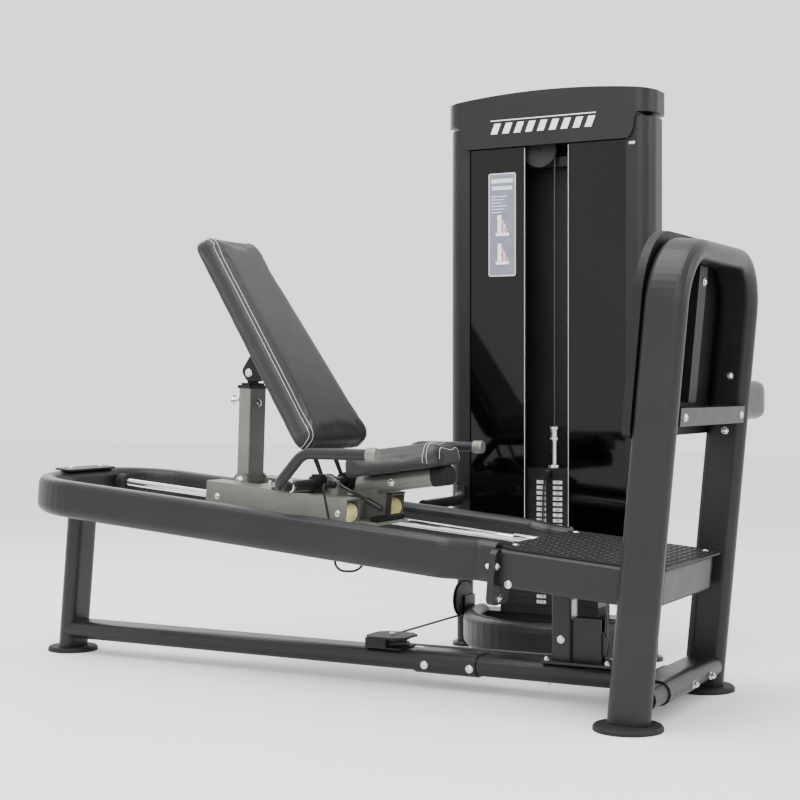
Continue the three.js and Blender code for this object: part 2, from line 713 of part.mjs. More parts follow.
// ---------- Carriage ----------
function carriageFrame() {
  const half = boxWide / 2;
  const channel = (y) => cut(
    block([boxRear, y - half, boxBottom], [boxFront, y + half, boxTop]),
    block([boxRear - 5, y - half + boxWall, boxBottom - 5], [boxFront + 5, y + half - boxWall, boxTop - boxWall]));
  const side = railOffset - half;
  const lid = block([-1110, -side - 1, boxTop - 6], [-850, side + 1, boxTop]);
  const rearPlate = block([boxRear + 6, -side - 1, boxBottom], [-1110, side + 1, boxBottom + 6]);
  const front = block([-852, -side - 1, 22], [-815, side + 1, frontBlockTop]);
  const ledge = block([-818, -side - 1, 22], [ledgeFront, side + 1, 30]);
  const anchor = block([-832, -14, deckCableZ - 8], [boxFront - 6 - gap, 14, 24]);
  const axle = (x, y) => rod([x, y - half + 1, rollerHeight], [x, y + half - 1, rollerHeight], 5.5, 12);
  const axles = [];
  for (const x of [boxRear + rollerInset + 12, boxFront - rollerInset])
    for (const y of [-railOffset, railOffset]) axles.push(axle(x, y));
  // ears that carry the back post, and the bracket that carries the handle bar and the backrest
  deck.updateMatrix();
  const inverse = deck.matrix.clone().invert();
  const pivot = new THREE.Vector3(postPivot.x, 0, postPivot.z).applyMatrix4(inverse);
  const bar = new THREE.Vector3(backPivot.x, 0, backPivot.z).applyMatrix4(inverse);
  const ear = (y) => alongY(prism(rounded([
    [pivot.x - 28, boxBottom + 4, 0], [pivot.x + 34, boxBottom + 4, 0],
    [pivot.x + 19, pivot.z + 19, 18], [pivot.x - 19, pivot.z + 19, 18],
  ]), y - 4, y + 4, 5));
  const pin = rod([pivot.x, -52, pivot.z], [pivot.x, 52, pivot.z], 6, 16);
  const cheek = (y) => alongY(prism(rounded([
    [bar.x - 40, boxTop - 2, 2], [-846, boxTop - 2, 2], [-846, boxTop + 16, 2],
    [bar.x + 26, bar.z + 22, 20], [bar.x - 26, bar.z + 22, 20],
  ]), y - 5, y + 5, 5));
  const barHole = rod([bar.x, -200, bar.z], [bar.x, 200, bar.z], 14 + gap, 20);
  // the lug that carries the release lever
  const lever = new THREE.Vector3(...leverPivot).applyMatrix4(inverse);
  const lug = block([lever.x - 9, leverY - 4, boxTop - 2], [lever.x + 9, leverY + 4, lever.z + 10]);
  const leverHole = rod([lever.x, leverY - 30, lever.z], [lever.x, leverY + 30, lever.z], 5 + gap, 12);
  return cut(join(channel(-railOffset), channel(railOffset), lid, rearPlate, front, ledge, anchor,
    ...axles, ear(-46), ear(46), pin, cheek(-74), cheek(74), lug), barHole, leverHole);
}
add(deck, "carriage_frame", carriageFrame(), silverPaint);

function roller() {
  const h = rollerWidth / 2;
  const r = rollerRadius;
  return turned([[6, -h], [r - 3, -h], [r, -h + 4], [r, h - 4], [r - 3, h], [6, h], [6, -h]], 20)
    .rotateX(Math.PI / 2);
}
for (const [end, x] of [["rear", boxRear + rollerInset + 12], ["front", boxFront - rollerInset]])
  for (const [side, y] of [["near", -railOffset], ["far", railOffset]])
    add(deck, `roller_${end}_${side}`, roller(), urethane).position.set(x, y, rollerHeight + gap);

// ---------- Back post ----------
const post = new THREE.Group();
post.position.set(postPivot.x, 0, postPivot.z);
post.rotation.y = postLean;
machine.add(post);
const outerTop = 254;
const knobZ = 216;
function postOuter() {
  const body = prism(rectangle(40, 80, 8), 16, outerTop, 3);
  const bore = prism(rectangle(34, 74, 5), 60, outerTop + 5, 3);
  const lug = join(block([-16, -41, -4], [16, 41, 20]), rod([0, -41, 0], [0, 41, 0], 16, 20));
  const hole = rod([0, -60, 0], [0, 60, 0], 6 + gap, 16);
  const pinHole = rod([-30, 0, knobZ], [-10, 0, knobZ], 5 + gap, 16);
  return cut(join(body, lug), bore, hole, pinHole);
}
add(post, "back_post_outer", postOuter(), silverPaint);

function postInner() {
  const body = prism(rectangle(31, 71, 5), 70, outerTop + 8, 3);
  const lug = join(block([-13, -8, 180], [13, 8, postLength]),
    rod([0, -8, postLength], [0, 8, postLength], 17, 20));
  const hole = rod([0, -20, postLength], [0, 20, postLength], 11, 20);
  return cut(join(body, lug), hole);
}
add(post, "back_post_inner", postInner(), darkPlate);

function pullKnob() {
  const knob = turned([
    [0, 0], [11, 0], [12, 3], [7, 14], [6, 22], [4.6, 24], [4.6, 48], [0, 48],
  ], 20);
  return knob.rotateY(Math.PI / 2).translate(-64, 0, knobZ);
}
add(post, "pull_knob", pullKnob(), chrome);
const knobSleeve = turned([[5 + gap, 0], [10, 0], [10, 18], [5 + gap, 18], [5 + gap, 0]], 20);
add(post, "knob_sleeve", knobSleeve.rotateY(Math.PI / 2).translate(-20 - gap - 18, 0, knobZ), darkPlate);

// ---------- Backrest ----------
// drawn in its own frame: x runs up along the pad, y across, z out of its front face
const backrest = new THREE.Group();
const padRun = new THREE.Vector3(padTop.x - padBottom.x, 0, padTop.z - padBottom.z);
const padLength = padRun.length();
const padUp = padRun.normalize();
const padOut = new THREE.Vector3(padUp.z, 0, -padUp.x);
backrest.matrixAutoUpdate = false;
backrest.matrix.makeBasis(padUp, padOut.clone().cross(padUp), padOut);
backrest.matrix.setPosition(padBottom.x, 0, padBottom.z);
machine.add(backrest);
const backrestInverse = backrest.matrix.clone().invert();
const inBackrest = ({ x, z }) => new THREE.Vector3(x, 0, z).applyMatrix4(backrestInverse);

function backPad() {
  const outline = rounded([
    [-14, -padBottomHalf + 4, 44], [padLength + 8, -padTopHalf, 44],
    [padLength + 8, padTopHalf, 44], [-14, padBottomHalf - 4, 44],
  ]);
  return prism(outline, -padThick, 0, 6);
}
add(backrest, "back_pad", backPad(), leather);

function backFrame() {
  const back = -padThick - gap;
  const pivot = inBackrest(backPivot);
  const pin = inBackrest(clevisPin);
  const board = prism(rectangle(padLength - 90, 150, 20), back - 12, back, 3).translate(padLength / 2, 0, 0);
  const knuckle = (y) => rod([pivot.x, y - 15, pivot.z], [pivot.x, y + 15, pivot.z], 23, 20);
  const arm = (y) => alongY(prism(rounded([
    [pivot.x - 16, pivot.z - 8, 3], [pivot.x + 16, pivot.z - 8, 3], [150, back - 4, 3], [60, back - 4, 3],
  ]), y - 5, y + 5, 2));
  const cheek = (y) => alongY(prism(rounded([
    [pin.x - 70, back - 4, 4], [pin.x - 18, pin.z - 18, 17], [pin.x + 18, pin.z - 18, 17], [pin.x + 60, back - 4, 4],
  ]), y - 4, y + 4, 4));
  const bolt = rod([pin.x, -21, pin.z], [pin.x, 21, pin.z], 6, 16);
  const hole = rod([pivot.x, -200, pivot.z], [pivot.x, 200, pivot.z], 14 + gap, 24);
  return cut(join(board, knuckle(-50), knuckle(50), arm(-50), arm(50), cheek(-17), cheek(17), bolt), hole);
}
add(backrest, "backrest_frame", backFrame(), darkPlate);

// ---------- Handle bar ----------
const handleEnd = -648;
function handleBar() {
  const y = 294;
  const z = backPivot.z;
  const half = [[handleEnd, 596, 0], [-830, 596, 50], [backPivot.x, z, 32]];
  const near = half.map(([x, height, r]) => [x, -y, height, r]);
  const far = half.map(([x, height, r]) => [x, y, height, r]).reverse();
  return tube(circle(14), [...near, ...far], Math.PI / 12, 7);
}
add(machine, "handle_bar", handleBar(), paint);
function handleCap() {
  return turned([[0, 0], [17, 0], [17.5, 2], [17.5, 22], [16, 26], [0, 26]], 24).rotateY(Math.PI / 2);
}
for (const [name, y] of [["handle_cap_near", -294], ["handle_cap_far", 294]])
  add(machine, name, handleCap(), silverPaint).position.set(handleEnd + gap, y, 596);

// ---------- Seat ----------
// drawn in its own frame: x runs forward along the seat tube, z out of the seat
const seat = new THREE.Group();
seat.position.set(-840, 0, 475 + seatTubeTall / 2);
seat.rotation.y = -seatTilt;
machine.add(seat);
function seatTube() {
  const pipe = alongX(prism(rectangle(seatTubeWide, seatTubeTall, 20), 8, 226, 5));
  // the pedestal stands on the carriage's front block and on its ledge
  const pedestal = join(
    block([-849, -28, frontBlockTop + gap], [-784, 28, 118]),
    block([-815 + gap, -28, 30 + gap], [-784, 28, 80]));
  deck.updateMatrix();
  seat.updateMatrix();
  const place = seat.matrix.clone().invert().multiply(deck.matrix);
  return join(pipe, pedestal.applyMatrix4(place));
}
add(seat, "seat_tube", seatTube(), silverPaint);
function seatPad() {
  const outline = rounded([[28, -156, 36], [282, -64, 40], [282, 64, 40], [28, 156, 36]]);
  const bottom = seatTubeTall / 2 + gap;
  return prism(outline, bottom, bottom + seatThick, 6);
}
add(seat, "seat_pad", seatPad(), leather);

// ---------- Release lever and its cable ----------
function releaseLever() {
  const [x, y, z] = leverPivot;
  const pin = rod([x, y - 12, z], [x, y + 16, z], 5, 12);
  const ball = new THREE.SphereGeometry(11, 14, 8).translate(x, y - 17, z);
  const arm = rod([x, y + 11, z], [-758, y + 11, 467], 4, 12);
  const grip = rod([-766, y + 11, 470.6], [-722, y + 11, 450], 8, 16);
  return join(pin, ball, arm, grip);
}
add(machine, "release_lever", releaseLever(), steel);

function releaseCable() {
  const route = [
    [-850, -131, 512], [-838, -188, 512, 20], [-812, -190, 400, 40], [-796, -192, 300, 26],
    [-742, -176, 300, 26], [-744, -70, 372, 26], [-802, -60, 384, 12], [-804, -60, 407],
  ];
  return tube(circle(3), route, Math.PI / 8);
}
add(machine, "release_cable", releaseCable(), rubber);

// The origin is under the middle of the machine, on the floor.
machine.updateMatrixWorld(true);
const box = new THREE.Box3().setFromObject(machine, true);
const middle = box.getCenter(new THREE.Vector3());
machine.position.set(-middle.x, -middle.y, -box.min.z);

export default machine;
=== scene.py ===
import json
import math

import bmesh
import bpy
from mathutils import Matrix, Vector
from mathutils.bvhtree import BVHTree
from mathutils.kdtree import KDTree


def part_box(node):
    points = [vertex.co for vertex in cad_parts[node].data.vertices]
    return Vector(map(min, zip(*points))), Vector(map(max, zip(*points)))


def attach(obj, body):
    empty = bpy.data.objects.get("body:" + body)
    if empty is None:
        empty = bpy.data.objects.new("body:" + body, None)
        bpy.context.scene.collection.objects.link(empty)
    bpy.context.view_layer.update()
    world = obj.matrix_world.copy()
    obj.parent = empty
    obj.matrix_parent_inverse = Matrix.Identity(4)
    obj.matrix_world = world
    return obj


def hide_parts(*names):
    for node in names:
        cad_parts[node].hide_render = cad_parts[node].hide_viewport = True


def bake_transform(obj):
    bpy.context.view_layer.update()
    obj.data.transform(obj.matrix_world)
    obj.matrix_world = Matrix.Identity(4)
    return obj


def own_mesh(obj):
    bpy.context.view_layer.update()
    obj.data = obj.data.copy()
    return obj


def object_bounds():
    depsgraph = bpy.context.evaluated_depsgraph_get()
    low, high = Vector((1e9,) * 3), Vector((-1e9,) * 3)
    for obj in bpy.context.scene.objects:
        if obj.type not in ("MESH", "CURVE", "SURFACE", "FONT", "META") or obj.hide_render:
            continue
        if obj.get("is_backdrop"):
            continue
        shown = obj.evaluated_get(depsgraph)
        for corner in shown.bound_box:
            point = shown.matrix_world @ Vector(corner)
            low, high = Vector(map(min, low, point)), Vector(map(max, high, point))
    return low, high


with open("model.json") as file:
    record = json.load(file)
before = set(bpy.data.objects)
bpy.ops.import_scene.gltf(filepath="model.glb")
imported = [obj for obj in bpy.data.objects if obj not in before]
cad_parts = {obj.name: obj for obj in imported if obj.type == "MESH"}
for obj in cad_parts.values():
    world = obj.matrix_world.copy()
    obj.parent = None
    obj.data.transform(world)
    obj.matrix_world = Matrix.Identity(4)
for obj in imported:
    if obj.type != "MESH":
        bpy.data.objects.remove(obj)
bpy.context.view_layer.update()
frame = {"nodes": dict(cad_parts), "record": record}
nodes = frame["nodes"]
print("frame loaded")

# ---- places ----
# The machine is drawn from the middle of its footplate-end feet, in millimetres.
# The frame's origin is under the middle of the whole machine.
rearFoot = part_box("foot_rear")
shift = (rearFoot[0] + rearFoot[1]) / 2 - Vector((-1.793, 0, 0))
shift.z = 0


def at(x, y, z):
    return Vector((x, y, z)) / 1000 + shift


deckHeight = 318
deckSlope = math.atan(0.0885)
deckAxis = Vector((math.cos(deckSlope), 0, -math.sin(deckSlope)))
deckUp = Vector((math.sin(deckSlope), 0, math.cos(deckSlope)))


def onDeck(x, y, z):
    return at(0, y, deckHeight) + deckAxis * (x / 1000) + deckUp * (z / 1000)


near, far, right, up, down = (0, -1, 0), (0, 1, 0), (1, 0, 0), (0, 0, 1), (0, 0, -1)
deckUpwards = tuple(deckUp)

# the back post and the foot-end frame lean a little
postLean = math.atan2(10, 289)
postUp = Vector((math.sin(postLean), 0, math.cos(postLean)))
postSide = Vector((math.cos(postLean), 0, -math.sin(postLean)))
footSlope = 0.093
footLean = math.atan(footSlope)
footOutwards = (math.cos(footLean), 0, -math.sin(footLean))


# ---- camera and light ----
cameraLook = {"place": (1231.8, -3619.4, 756), "yaw": 28.32, "lens": 71.87, "shift": -0.015}


def makeCamera(look):
    data = bpy.data.cameras.new("camera")
    data.lens = look["lens"]
    data.sensor_width = 36
    data.shift_y = look["shift"]
    camera = bpy.data.objects.new("camera", data)
    camera.location = at(*look["place"])
    camera.rotation_euler = (math.radians(90), 0, math.radians(look["yaw"]))
    bpy.context.collection.objects.link(camera)
    bpy.context.scene.camera = camera


makeCamera(cameraLook)

lamps = [
    {"name": "overhead", "place": (-900, -900, 3600), "aim": (-800, 0, 400), "size": 3.2, "power": 130},
    {"name": "front", "place": (900, -4200, 2600), "aim": (-700, 0, 600), "size": 2.6, "power": 60},
    {"name": "side", "place": (3200, 600, 2200), "aim": (-200, 0, 700), "size": 2.0, "power": 35},
    {"name": "rear", "place": (-3800, 1800, 2600), "aim": (-900, 0, 600), "size": 2.4, "power": 45},
]
for lamp in lamps:
    data = bpy.data.lights.new(lamp["name"], "AREA")
    data.shape = "DISK"
    data.size = lamp["size"]
    data.energy = lamp["power"]
    light = bpy.data.objects.new(lamp["name"], data)
    light.location = at(*lamp["place"])
    light.rotation_euler = (at(*lamp["aim"]) - light.location).to_track_quat("-Z", "Y").to_euler()
    bpy.context.collection.objects.link(light)

world = bpy.data.worlds.new("studio")
bpy.context.scene.world = world
world.use_nodes = True
world.node_tree.nodes["Background"].inputs["Color"].default_value = (1, 1, 1, 1)
world.node_tree.nodes["Background"].inputs["Strength"].default_value = 1.7
print("camera and light set")


# ---- materials ----
def linear(hexColour):
    parts = [int(hexColour[i : i + 2], 16) / 255 for i in (1, 3, 5)]
    return tuple(c / 12.92 if c <= 0.04045 else ((c + 0.055) / 1.055) ** 2.4 for c in parts) + (1,)


def addNode(tree, kind, inputs=None, **settings):
    node = tree.nodes.new(kind)
    for key, value in settings.items():
        setattr(node, key, value)
    for key, value in (inputs or {}).items():
        if isinstance(value, bpy.types.NodeSocket):
            tree.links.new(value, node.inputs[key])
        else:
            node.inputs[key].default_value = value
    return node


def ramp(tree, factor, stops):
    node = addNode(tree, "ShaderNodeValToRGB", {"Fac": factor})
    for i, (position, colour) in enumerate(stops):
        stop = node.color_ramp.elements[i] if i < 2 else node.color_ramp.elements.new(position)
        stop.position = position
        stop.color = colour
    return node.outputs["Color"]


def spread(tree, factor, low, high):
    node = addNode(tree, "ShaderNodeMapRange", {"Value": factor, "To Min": low, "To Max": high})
    return node.outputs["Result"]


def startMaterial(name):
    material = bpy.data.materials.new(name)
    material.use_nodes = True
    tree = material.node_tree
    shader = tree.nodes["Principled BSDF"]
    spot = addNode(tree, "ShaderNodeTexCoord").outputs["Object"]
    return material, tree, shader, spot


def noise(tree, spot, size, detail=3, stretch=None):
    # size is the width of one blotch, in millimetres
    if stretch:
        spot = addNode(tree, "ShaderNodeMapping", {"Vector": spot, "Scale": stretch}).outputs["Vector"]
    values = {"Vector": spot, "Scale": 1000 / size, "Detail": detail}
    return addNode(tree, "ShaderNodeTexNoise", values).outputs["Fac"]


# One recipe for hard surfaces: cloudy colour, worn-in gloss, and a fine relief.
def hardSurface(name, look):
    material, tree, shader, spot = startMaterial(name)
    cloud = noise(tree, spot, look["cloud"])
    pair = [(0.3, linear(look["dark"])), (0.7, linear(look["light"]))]
    tree.links.new(ramp(tree, cloud, pair), shader.inputs["Base Color"])
    smear = noise(tree, spot, look["smear"], 5, look.get("stretch"))
    tree.links.new(spread(tree, smear, *look["rough"]), shader.inputs["Roughness"])
    grain = noise(tree, spot, look["grain"], 2, look.get("stretch"))
    bump = addNode(
        tree,
        "ShaderNodeBump",
        {"Height": grain, "Strength": look["relief"], "Distance": look["depth"] / 1000},
    )
    tree.links.new(bump.outputs["Normal"], shader.inputs["Normal"])
    shader.inputs["Metallic"].default_value = look.get("metal", 0)
    shader.inputs["Coat Weight"].default_value = look.get("coat", 0)
    shader.inputs["Coat Roughness"].default_value = look.get("coatRough", 0.1)
    if "specular" in look:
        shader.inputs["Specular IOR Level"].default_value = look["specular"]
    return material


# Baked powder coat: the eye gets a fine orange-peel sparkle on the tube's rounded edges.
powderCoat = hardSurface("charcoal powder coat", {
    "dark": "#17181a", "light": "#1c1d1e", "cloud": 180, "smear": 40, "rough": (0.3, 0.44),
    "grain": 1.1, "relief": 0.35, "depth": 0.12, "specular": 0.3,
})
# The same coat on cut plate, baked matt: it reads as a darker, quieter black.
blackPlate = hardSurface("matt black powder coat", {
    "dark": "#0f1011", "light": "#141516", "cloud": 90, "smear": 25, "rough": (0.42, 0.58),
    "grain": 0.9, "relief": 0.4, "depth": 0.12, "specular": 0.25,
})
# Silver powder coat with metal flake: warm grey with a soft metallic lift.
silverCoat = hardSurface("silver grey powder coat", {
    "dark": "#6f6f69", "light": "#7b7b74", "cloud": 120, "smear": 30, "rough": (0.34, 0.46),
    "grain": 0.8, "relief": 0.25, "depth": 0.08, "metal": 0.45,
})
# Hard chrome ground along its length: sharp reflections with faint lengthwise streaks.
hardChrome = hardSurface("hard chrome", {
    "dark": "#d2d2d0", "light": "#e2e2e0", "cloud": 60, "smear": 9, "rough": (0.07, 0.2),
    "grain": 0.6, "relief": 0.06, "depth": 0.02, "metal": 1, "stretch": (0.08, 1, 1),
})
# Bright zinc plating on fasteners: pale, with a slightly broken shine.
zinc = hardSurface("bright zinc plating", {
    "dark": "#c9cac6", "light": "#e8e8e4", "cloud": 4, "smear": 3, "rough": (0.16, 0.34),
    "grain": 0.5, "relief": 0.1, "depth": 0.03, "metal": 1,
})
# Ground and oiled steel plates: level brush marks that catch a dull sheen.
groundSteel = hardSurface("ground steel", {
    "dark": "#2b2c2d", "light": "#3a3b3c", "cloud": 70, "smear": 6, "rough": (0.3, 0.5),
    "grain": 0.7, "relief": 0.25, "depth": 0.05, "metal": 0.85, "stretch": (0.1, 1, 1),
})
# Moulded rubber: chalky bloom and a pebbled skin.
mouldedRubber = hardSurface("moulded rubber", {
    "dark": "#141414", "light": "#1b1b1a", "cloud": 30, "smear": 12, "rough": (0.6, 0.8),
    "grain": 1.6, "relief": 0.4, "depth": 0.2, "specular": 0.3,
})
# Polished acrylic sheet: near-black and mirror smooth, so the seat shows in it.
polishedAcrylic = hardSurface("polished black acrylic", {
    "dark": "#020202", "light": "#040405", "cloud": 300, "smear": 60, "rough": (0.03, 0.08),
    "grain": 90, "relief": 0.06, "depth": 0.5, "specular": 0.3,
})
# Textured moulding: even black with a fine leathery etch.
etchedPlastic = hardSurface("etched black moulding", {
    "dark": "#121315", "light": "#18191b", "cloud": 150, "smear": 20, "rough": (0.34, 0.48),
    "grain": 0.8, "relief": 0.35, "depth": 0.1, "specular": 0.3,
})
# Cast polyurethane: cream, a little waxy, with a soft tread polish.
castUrethane = hardSurface("cast cream polyurethane", {
    "dark": "#d3c67c", "light": "#e6dc9c", "cloud": 14, "smear": 8, "rough": (0.35, 0.55),
    "grain": 1.2, "relief": 0.15, "depth": 0.08, "coat": 0.15,
})
# Turned nylon: black with a faint ring of tool marks.
turnedNylon = hardSurface("turned black nylon", {
    "dark": "#0d0d0e", "light": "#141415", "cloud": 20, "smear": 5, "rough": (0.4, 0.55),
    "grain": 0.9, "relief": 0.2, "depth": 0.06,
})
# Printed film: flat ink under a satin laminate. The pale film also stands as painted highlights on the
# front panels' edges.
inkLooks = {
    "pale": ("#c9ccd2", "#d6d8dc"), "grey": ("#6f7280", "#7b7f8c"), "white": ("#e4e4e6", "#f0f0f0"),
    "rose": ("#c78a95", "#d39aa4"), "black": ("#101012", "#161618"),
}
inks = {
    key: hardSurface("printed film " + key, {
        "dark": pair[0], "light": pair[1], "cloud": 25, "smear": 10, "rough": (0.3, 0.42),
        "grain": 0.6, "relief": 0.08, "depth": 0.03,
    })
    for key, pair in inkLooks.items()
}
# Bonded polyester thread: bright white with a twisted sheen.
thread = hardSurface("white bonded thread", {
    "dark": "#d8d8d4", "light": "#ececea", "cloud": 3, "smear": 2, "rough": (0.5, 0.7),
    "grain": 0.4, "relief": 0.5, "depth": 0.08,
})


# Embossed leatherette: tight pebble cells with fine creases, so the pad reads as stretched vinyl; the
# colour is darkened in the creases between the cells as painted shade.
def leatherette(look):
    material, tree, shader, spot = startMaterial("black leatherette")
    cloud = noise(tree, spot, look["cloud"])
    pair = [(0.3, linear(look["dark"])), (0.7, linear(look["light"]))]
    base = ramp(tree, cloud, pair)
    cells = addNode(
        tree,
        "ShaderNodeTexVoronoi",
        {"Vector": spot, "Scale": 1000 / look["pebble"]},
        feature="DISTANCE_TO_EDGE",
    ).outputs["Distance"]
    # painted shade: the colour darkens to 55 % towards each pebble cell's edge, in the creases
    creaseShade = ramp(tree, cells, [(0.0, (0.55, 0.55, 0.55, 1)), (0.14, (1, 1, 1, 1))])
    shade = addNode(
        tree,
        "ShaderNodeMix",
        {"Factor": 1.0, "A": base, "B": creaseShade},
        data_type="RGBA",
        blend_type="MULTIPLY",
    )
    tree.links.new(shade.outputs["Result"], shader.inputs["Base Color"])
    worn = noise(tree, spot, look["smear"], 4)
    tree.links.new(spread(tree, worn, *look["rough"]), shader.inputs["Roughness"])
    bump = addNode(
        tree,
        "ShaderNodeBump",
        {"Height": cells, "Strength": look["relief"], "Distance": look["depth"] / 1000},
    )
    tree.links.new(bump.outputs["Normal"], shader.inputs["Normal"])
    shader.inputs["Sheen Weight"].default_value = look["sheen"]
    shader.inputs["Specular IOR Level"].default_value = look["specular"]
    return material


leather = leatherette({
    "dark": "#191a1c", "light": "#1f2022", "cloud": 120, "smear": 45, "rough": (0.38, 0.52),
    "pebble": 1.3, "relief": 0.5, "depth": 0.25, "sheen": 0.06, "specular": 0.4,
})

finishes = {
    "frame_paint": powderCoat, "dark_plate": blackPlate, "silver_paint": silverCoat, "chrome": hardChrome,
    "steel": groundSteel, "rubber": mouldedRubber, "leatherette": leather, "gloss_panel": polishedAcrylic,
    "black_plastic": etchedPlastic, "urethane": castUrethane, "nylon": turnedNylon,
}
for part in frame["record"]["subparts"]:
    mesh = nodes[part["node"]]
    mesh.data.materials.clear()
    mesh.data.materials.append(finishes[part["material_slot"]])
print("materials made")


# ---- mesh helpers ----
# Stands a mesh in the scene as one piece, on a body and in a material slot.
def place(name, mesh, material, body, smooth=True):
    mesh.materials.append(material)
    piece = bpy.data.objects.new(name, mesh)
    bpy.context.collection.objects.link(piece)
    for face in mesh.polygons:
        face.use_smooth = smooth
    if smooth:
        mesh.set_sharp_from_angle(angle=math.radians(35))
    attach(piece, body)
    return piece


def finishMesh(name, bm):
    bmesh.ops.recalc_face_normals(bm, faces=bm.faces)
    mesh = bpy.data.meshes.new(name)
    bm.to_mesh(mesh)
    bm.free()
    return mesh


# A matrix that stands local +Z along an axis, at a point.
def aim(point, axis):
    turn = Vector(axis).normalized().to_track_quat("Z", "Y").to_matrix().to_4x4()
    return Matrix.Translation(point) @ turn


# Adds a turned piece to a bmesh: the profile's [radius, height] points, in millimetres.
def addTurned(bm, profile, matrix, steps=20):
    rings = []
    for radius, height in profile:
        if radius == 0:
            rings.append([bm.verts.new(matrix @ Vector((0, 0, height / 1000)))])
            continue
        ring = []
        for k in range(steps):
            a = 2 * math.pi * k / steps
            ring.append(bm.verts.new(matrix @ Vector((
                radius * math.cos(a) / 1000, radius * math.sin(a) / 1000, height / 1000))))
        rings.append(ring)
    for low, high in zip(rings, rings[1:]):
        for k in range(steps):
            n = (k + 1) % steps
            if len(low) == 1 and len(high) == 1:
                continue
            if len(low) == 1:
                bm.faces.new((low[0], high[k], high[n]))
            elif len(high) == 1:
                bm.faces.new((low[k], high[0], low[n]))
            else:
                bm.faces.new((low[k], high[k], high[n], low[n]))


# Adds a box whose edges are eased, given its centre, size in millimetres and a turn.
def addBlock(bm, centre, size, turn=Matrix.Identity(4), ease=1.0):
    before = set(bm.verts)
    corners = bmesh.ops.create_cube(bm, size=1)["verts"]
    for corner in corners:
        corner.co = Vector(c * s / 1000 for c, s in zip(corner.co, size))
    if ease:
        edges = list({edge for corner in corners for edge in corner.link_edges})
        bmesh.ops.bevel(bm, geom=edges, offset=ease / 1000, segments=2, affect="EDGES")
    for vertex in set(bm.verts) - before:
        vertex.co = centre + turn.to_3x3() @ vertex.co


# Adds a moulded plug with rounded corners and a rounded end, which stands on local z = 0.
def addPlug(bm, matrix, size, radius, length, edge=12):
    x, y = size[0] / 2, size[1] / 2
    corners = [(-x, -y, radius), (x, -y, radius), (x, y, radius), (-x, y, radius)]
    layers = [(0.0, 0.0)]
    for k in range(6):
        a = math.pi / 2 * k / 5
        layers.append((edge * (1 - math.cos(a)), length - edge + edge * math.sin(a)))
    rings = []
    for inset, height in layers:
        spots = outline(corners, inset, 6)
        rings.append([bm.verts.new(matrix @ (Vector((p.x, p.y, height)) / 1000)) for p in spots])
    for low, high in zip(rings, rings[1:]):
        for k in range(len(low)):
            n = (k + 1) % len(low)
            bm.faces.new((low[k], low[n], high[n], high[k]))
    bm.faces.new(list(reversed(rings[0])))
    bm.faces.new(rings[-1])


# Adds a round tube through points, all in metres.
def addTube(bm, points, radius, steps=10, closed=False):
    count = len(points)
    rings = []
    side = None
    for i, point in enumerate(points):
        ahead = points[(i + 1) % count] if closed or i + 1 < count else point
        behind = points[i - 1] if closed or i else point
        along = (ahead - behind).normalized()
        if side is None:
            side = along.orthogonal().normalized()
        side = (side - along * side.dot(along)).normalized()
        other = along.cross(side)
        ring = []
        for k in range(steps):
            a = 2 * math.pi * k / steps
            ring.append(bm.verts.new(point + (side * math.cos(a) + other * math.sin(a)) * radius))
        rings.append(ring)
    pairs = list(zip(rings, rings[1:])) + ([(rings[-1], rings[0])] if closed else [])
    for low, high in pairs:
        for k in range(steps):
            n = (k + 1) % steps
            bm.faces.new((low[k], low[n], high[n], high[k]))
    if not closed:
        bm.faces.new(list(reversed(rings[0])))
        bm.faces.new(rings[-1])


# The points, in metres, of straight runs joined by round bends.
# A corner is [x, y, z] or [x, y, z, bend radius], in millimetres.
def roundedRoute(corners, step=math.pi / 14):
    points = []
    for i, corner in enumerate(corners):
        here = Vector(corner[:3])
        if len(corner) < 4:
            points.append(here)
            continue
        back = (Vector(corners[i - 1][:3]) - here).normalized()
        on = (Vector(corners[i + 1][:3]) - here).normalized()
        half = back.angle(on) / 2
        centre = here + (back + on).normalized() * (corner[3] / math.sin(half))
        start = here + back * (corner[3] / math.tan(half)) - centre
        axis = (-back).cross(on).normalized()
        sweep = math.pi - 2 * half
        count = max(2, round(sweep / step))
        for k in range(count + 1):
            points.append(centre + Matrix.Rotation(sweep * k / count, 3, axis) @ start)
    return [at(*point) for point in points]


# ---- cushions ----
padLooks = {
    "back_cushion": {
        "node": "back_pad", "body": "backrest", "fill": 0.75, "thick": 58, "edge": 24, "voxel": 5.5,
        "board": 6, "cap": 7, "shy": 3,
        "corners": [(-18, -168, 38), (647, -123, 40), (647, 123, 40), (-18, 168, 38)],
    },
    "seat_cushion": {
        "node": "seat_pad", "body": "carriage", "fill": 0.75, "thick": 60, "edge": 24, "voxel": 5,
        "board": 6, "cap": 6, "shy": 3,
        "corners": [(28, -156, 36), (282, -64, 40), (282, 64, 40), (28, 156, 36)],
    },
}
padFoot, padHead = Vector((-886, 0, 636)), Vector((-1236, 0, 1171))
padUp = (padHead - padFoot).normalized()
padOut = Vector((padUp.z, 0, -padUp.x))


# A matrix with the given local X and Z axes, at a point.
def basis(xAxis, zAxis, origin):
    yAxis = zAxis.cross(xAxis)
    turn = Matrix((xAxis, yAxis, zAxis)).transposed().to_4x4()
    return Matrix.Translation(origin) @ turn


seatTilt = math.atan(0.14)
seatAlong = Vector((math.cos(seatTilt), 0, math.sin(seatTilt)))
seatUp = Vector((-math.sin(seatTilt), 0, math.cos(seatTilt)))
seatTube = Vector((-840, 0, 499))
padLooks["back_cushion"]["frame"] = basis(padUp, padOut, at(*(padFoot - padOut * 58)))
padLooks["seat_cushion"]["frame"] = basis(seatAlong, seatUp, at(*(seatTube + seatUp * 24.3)))


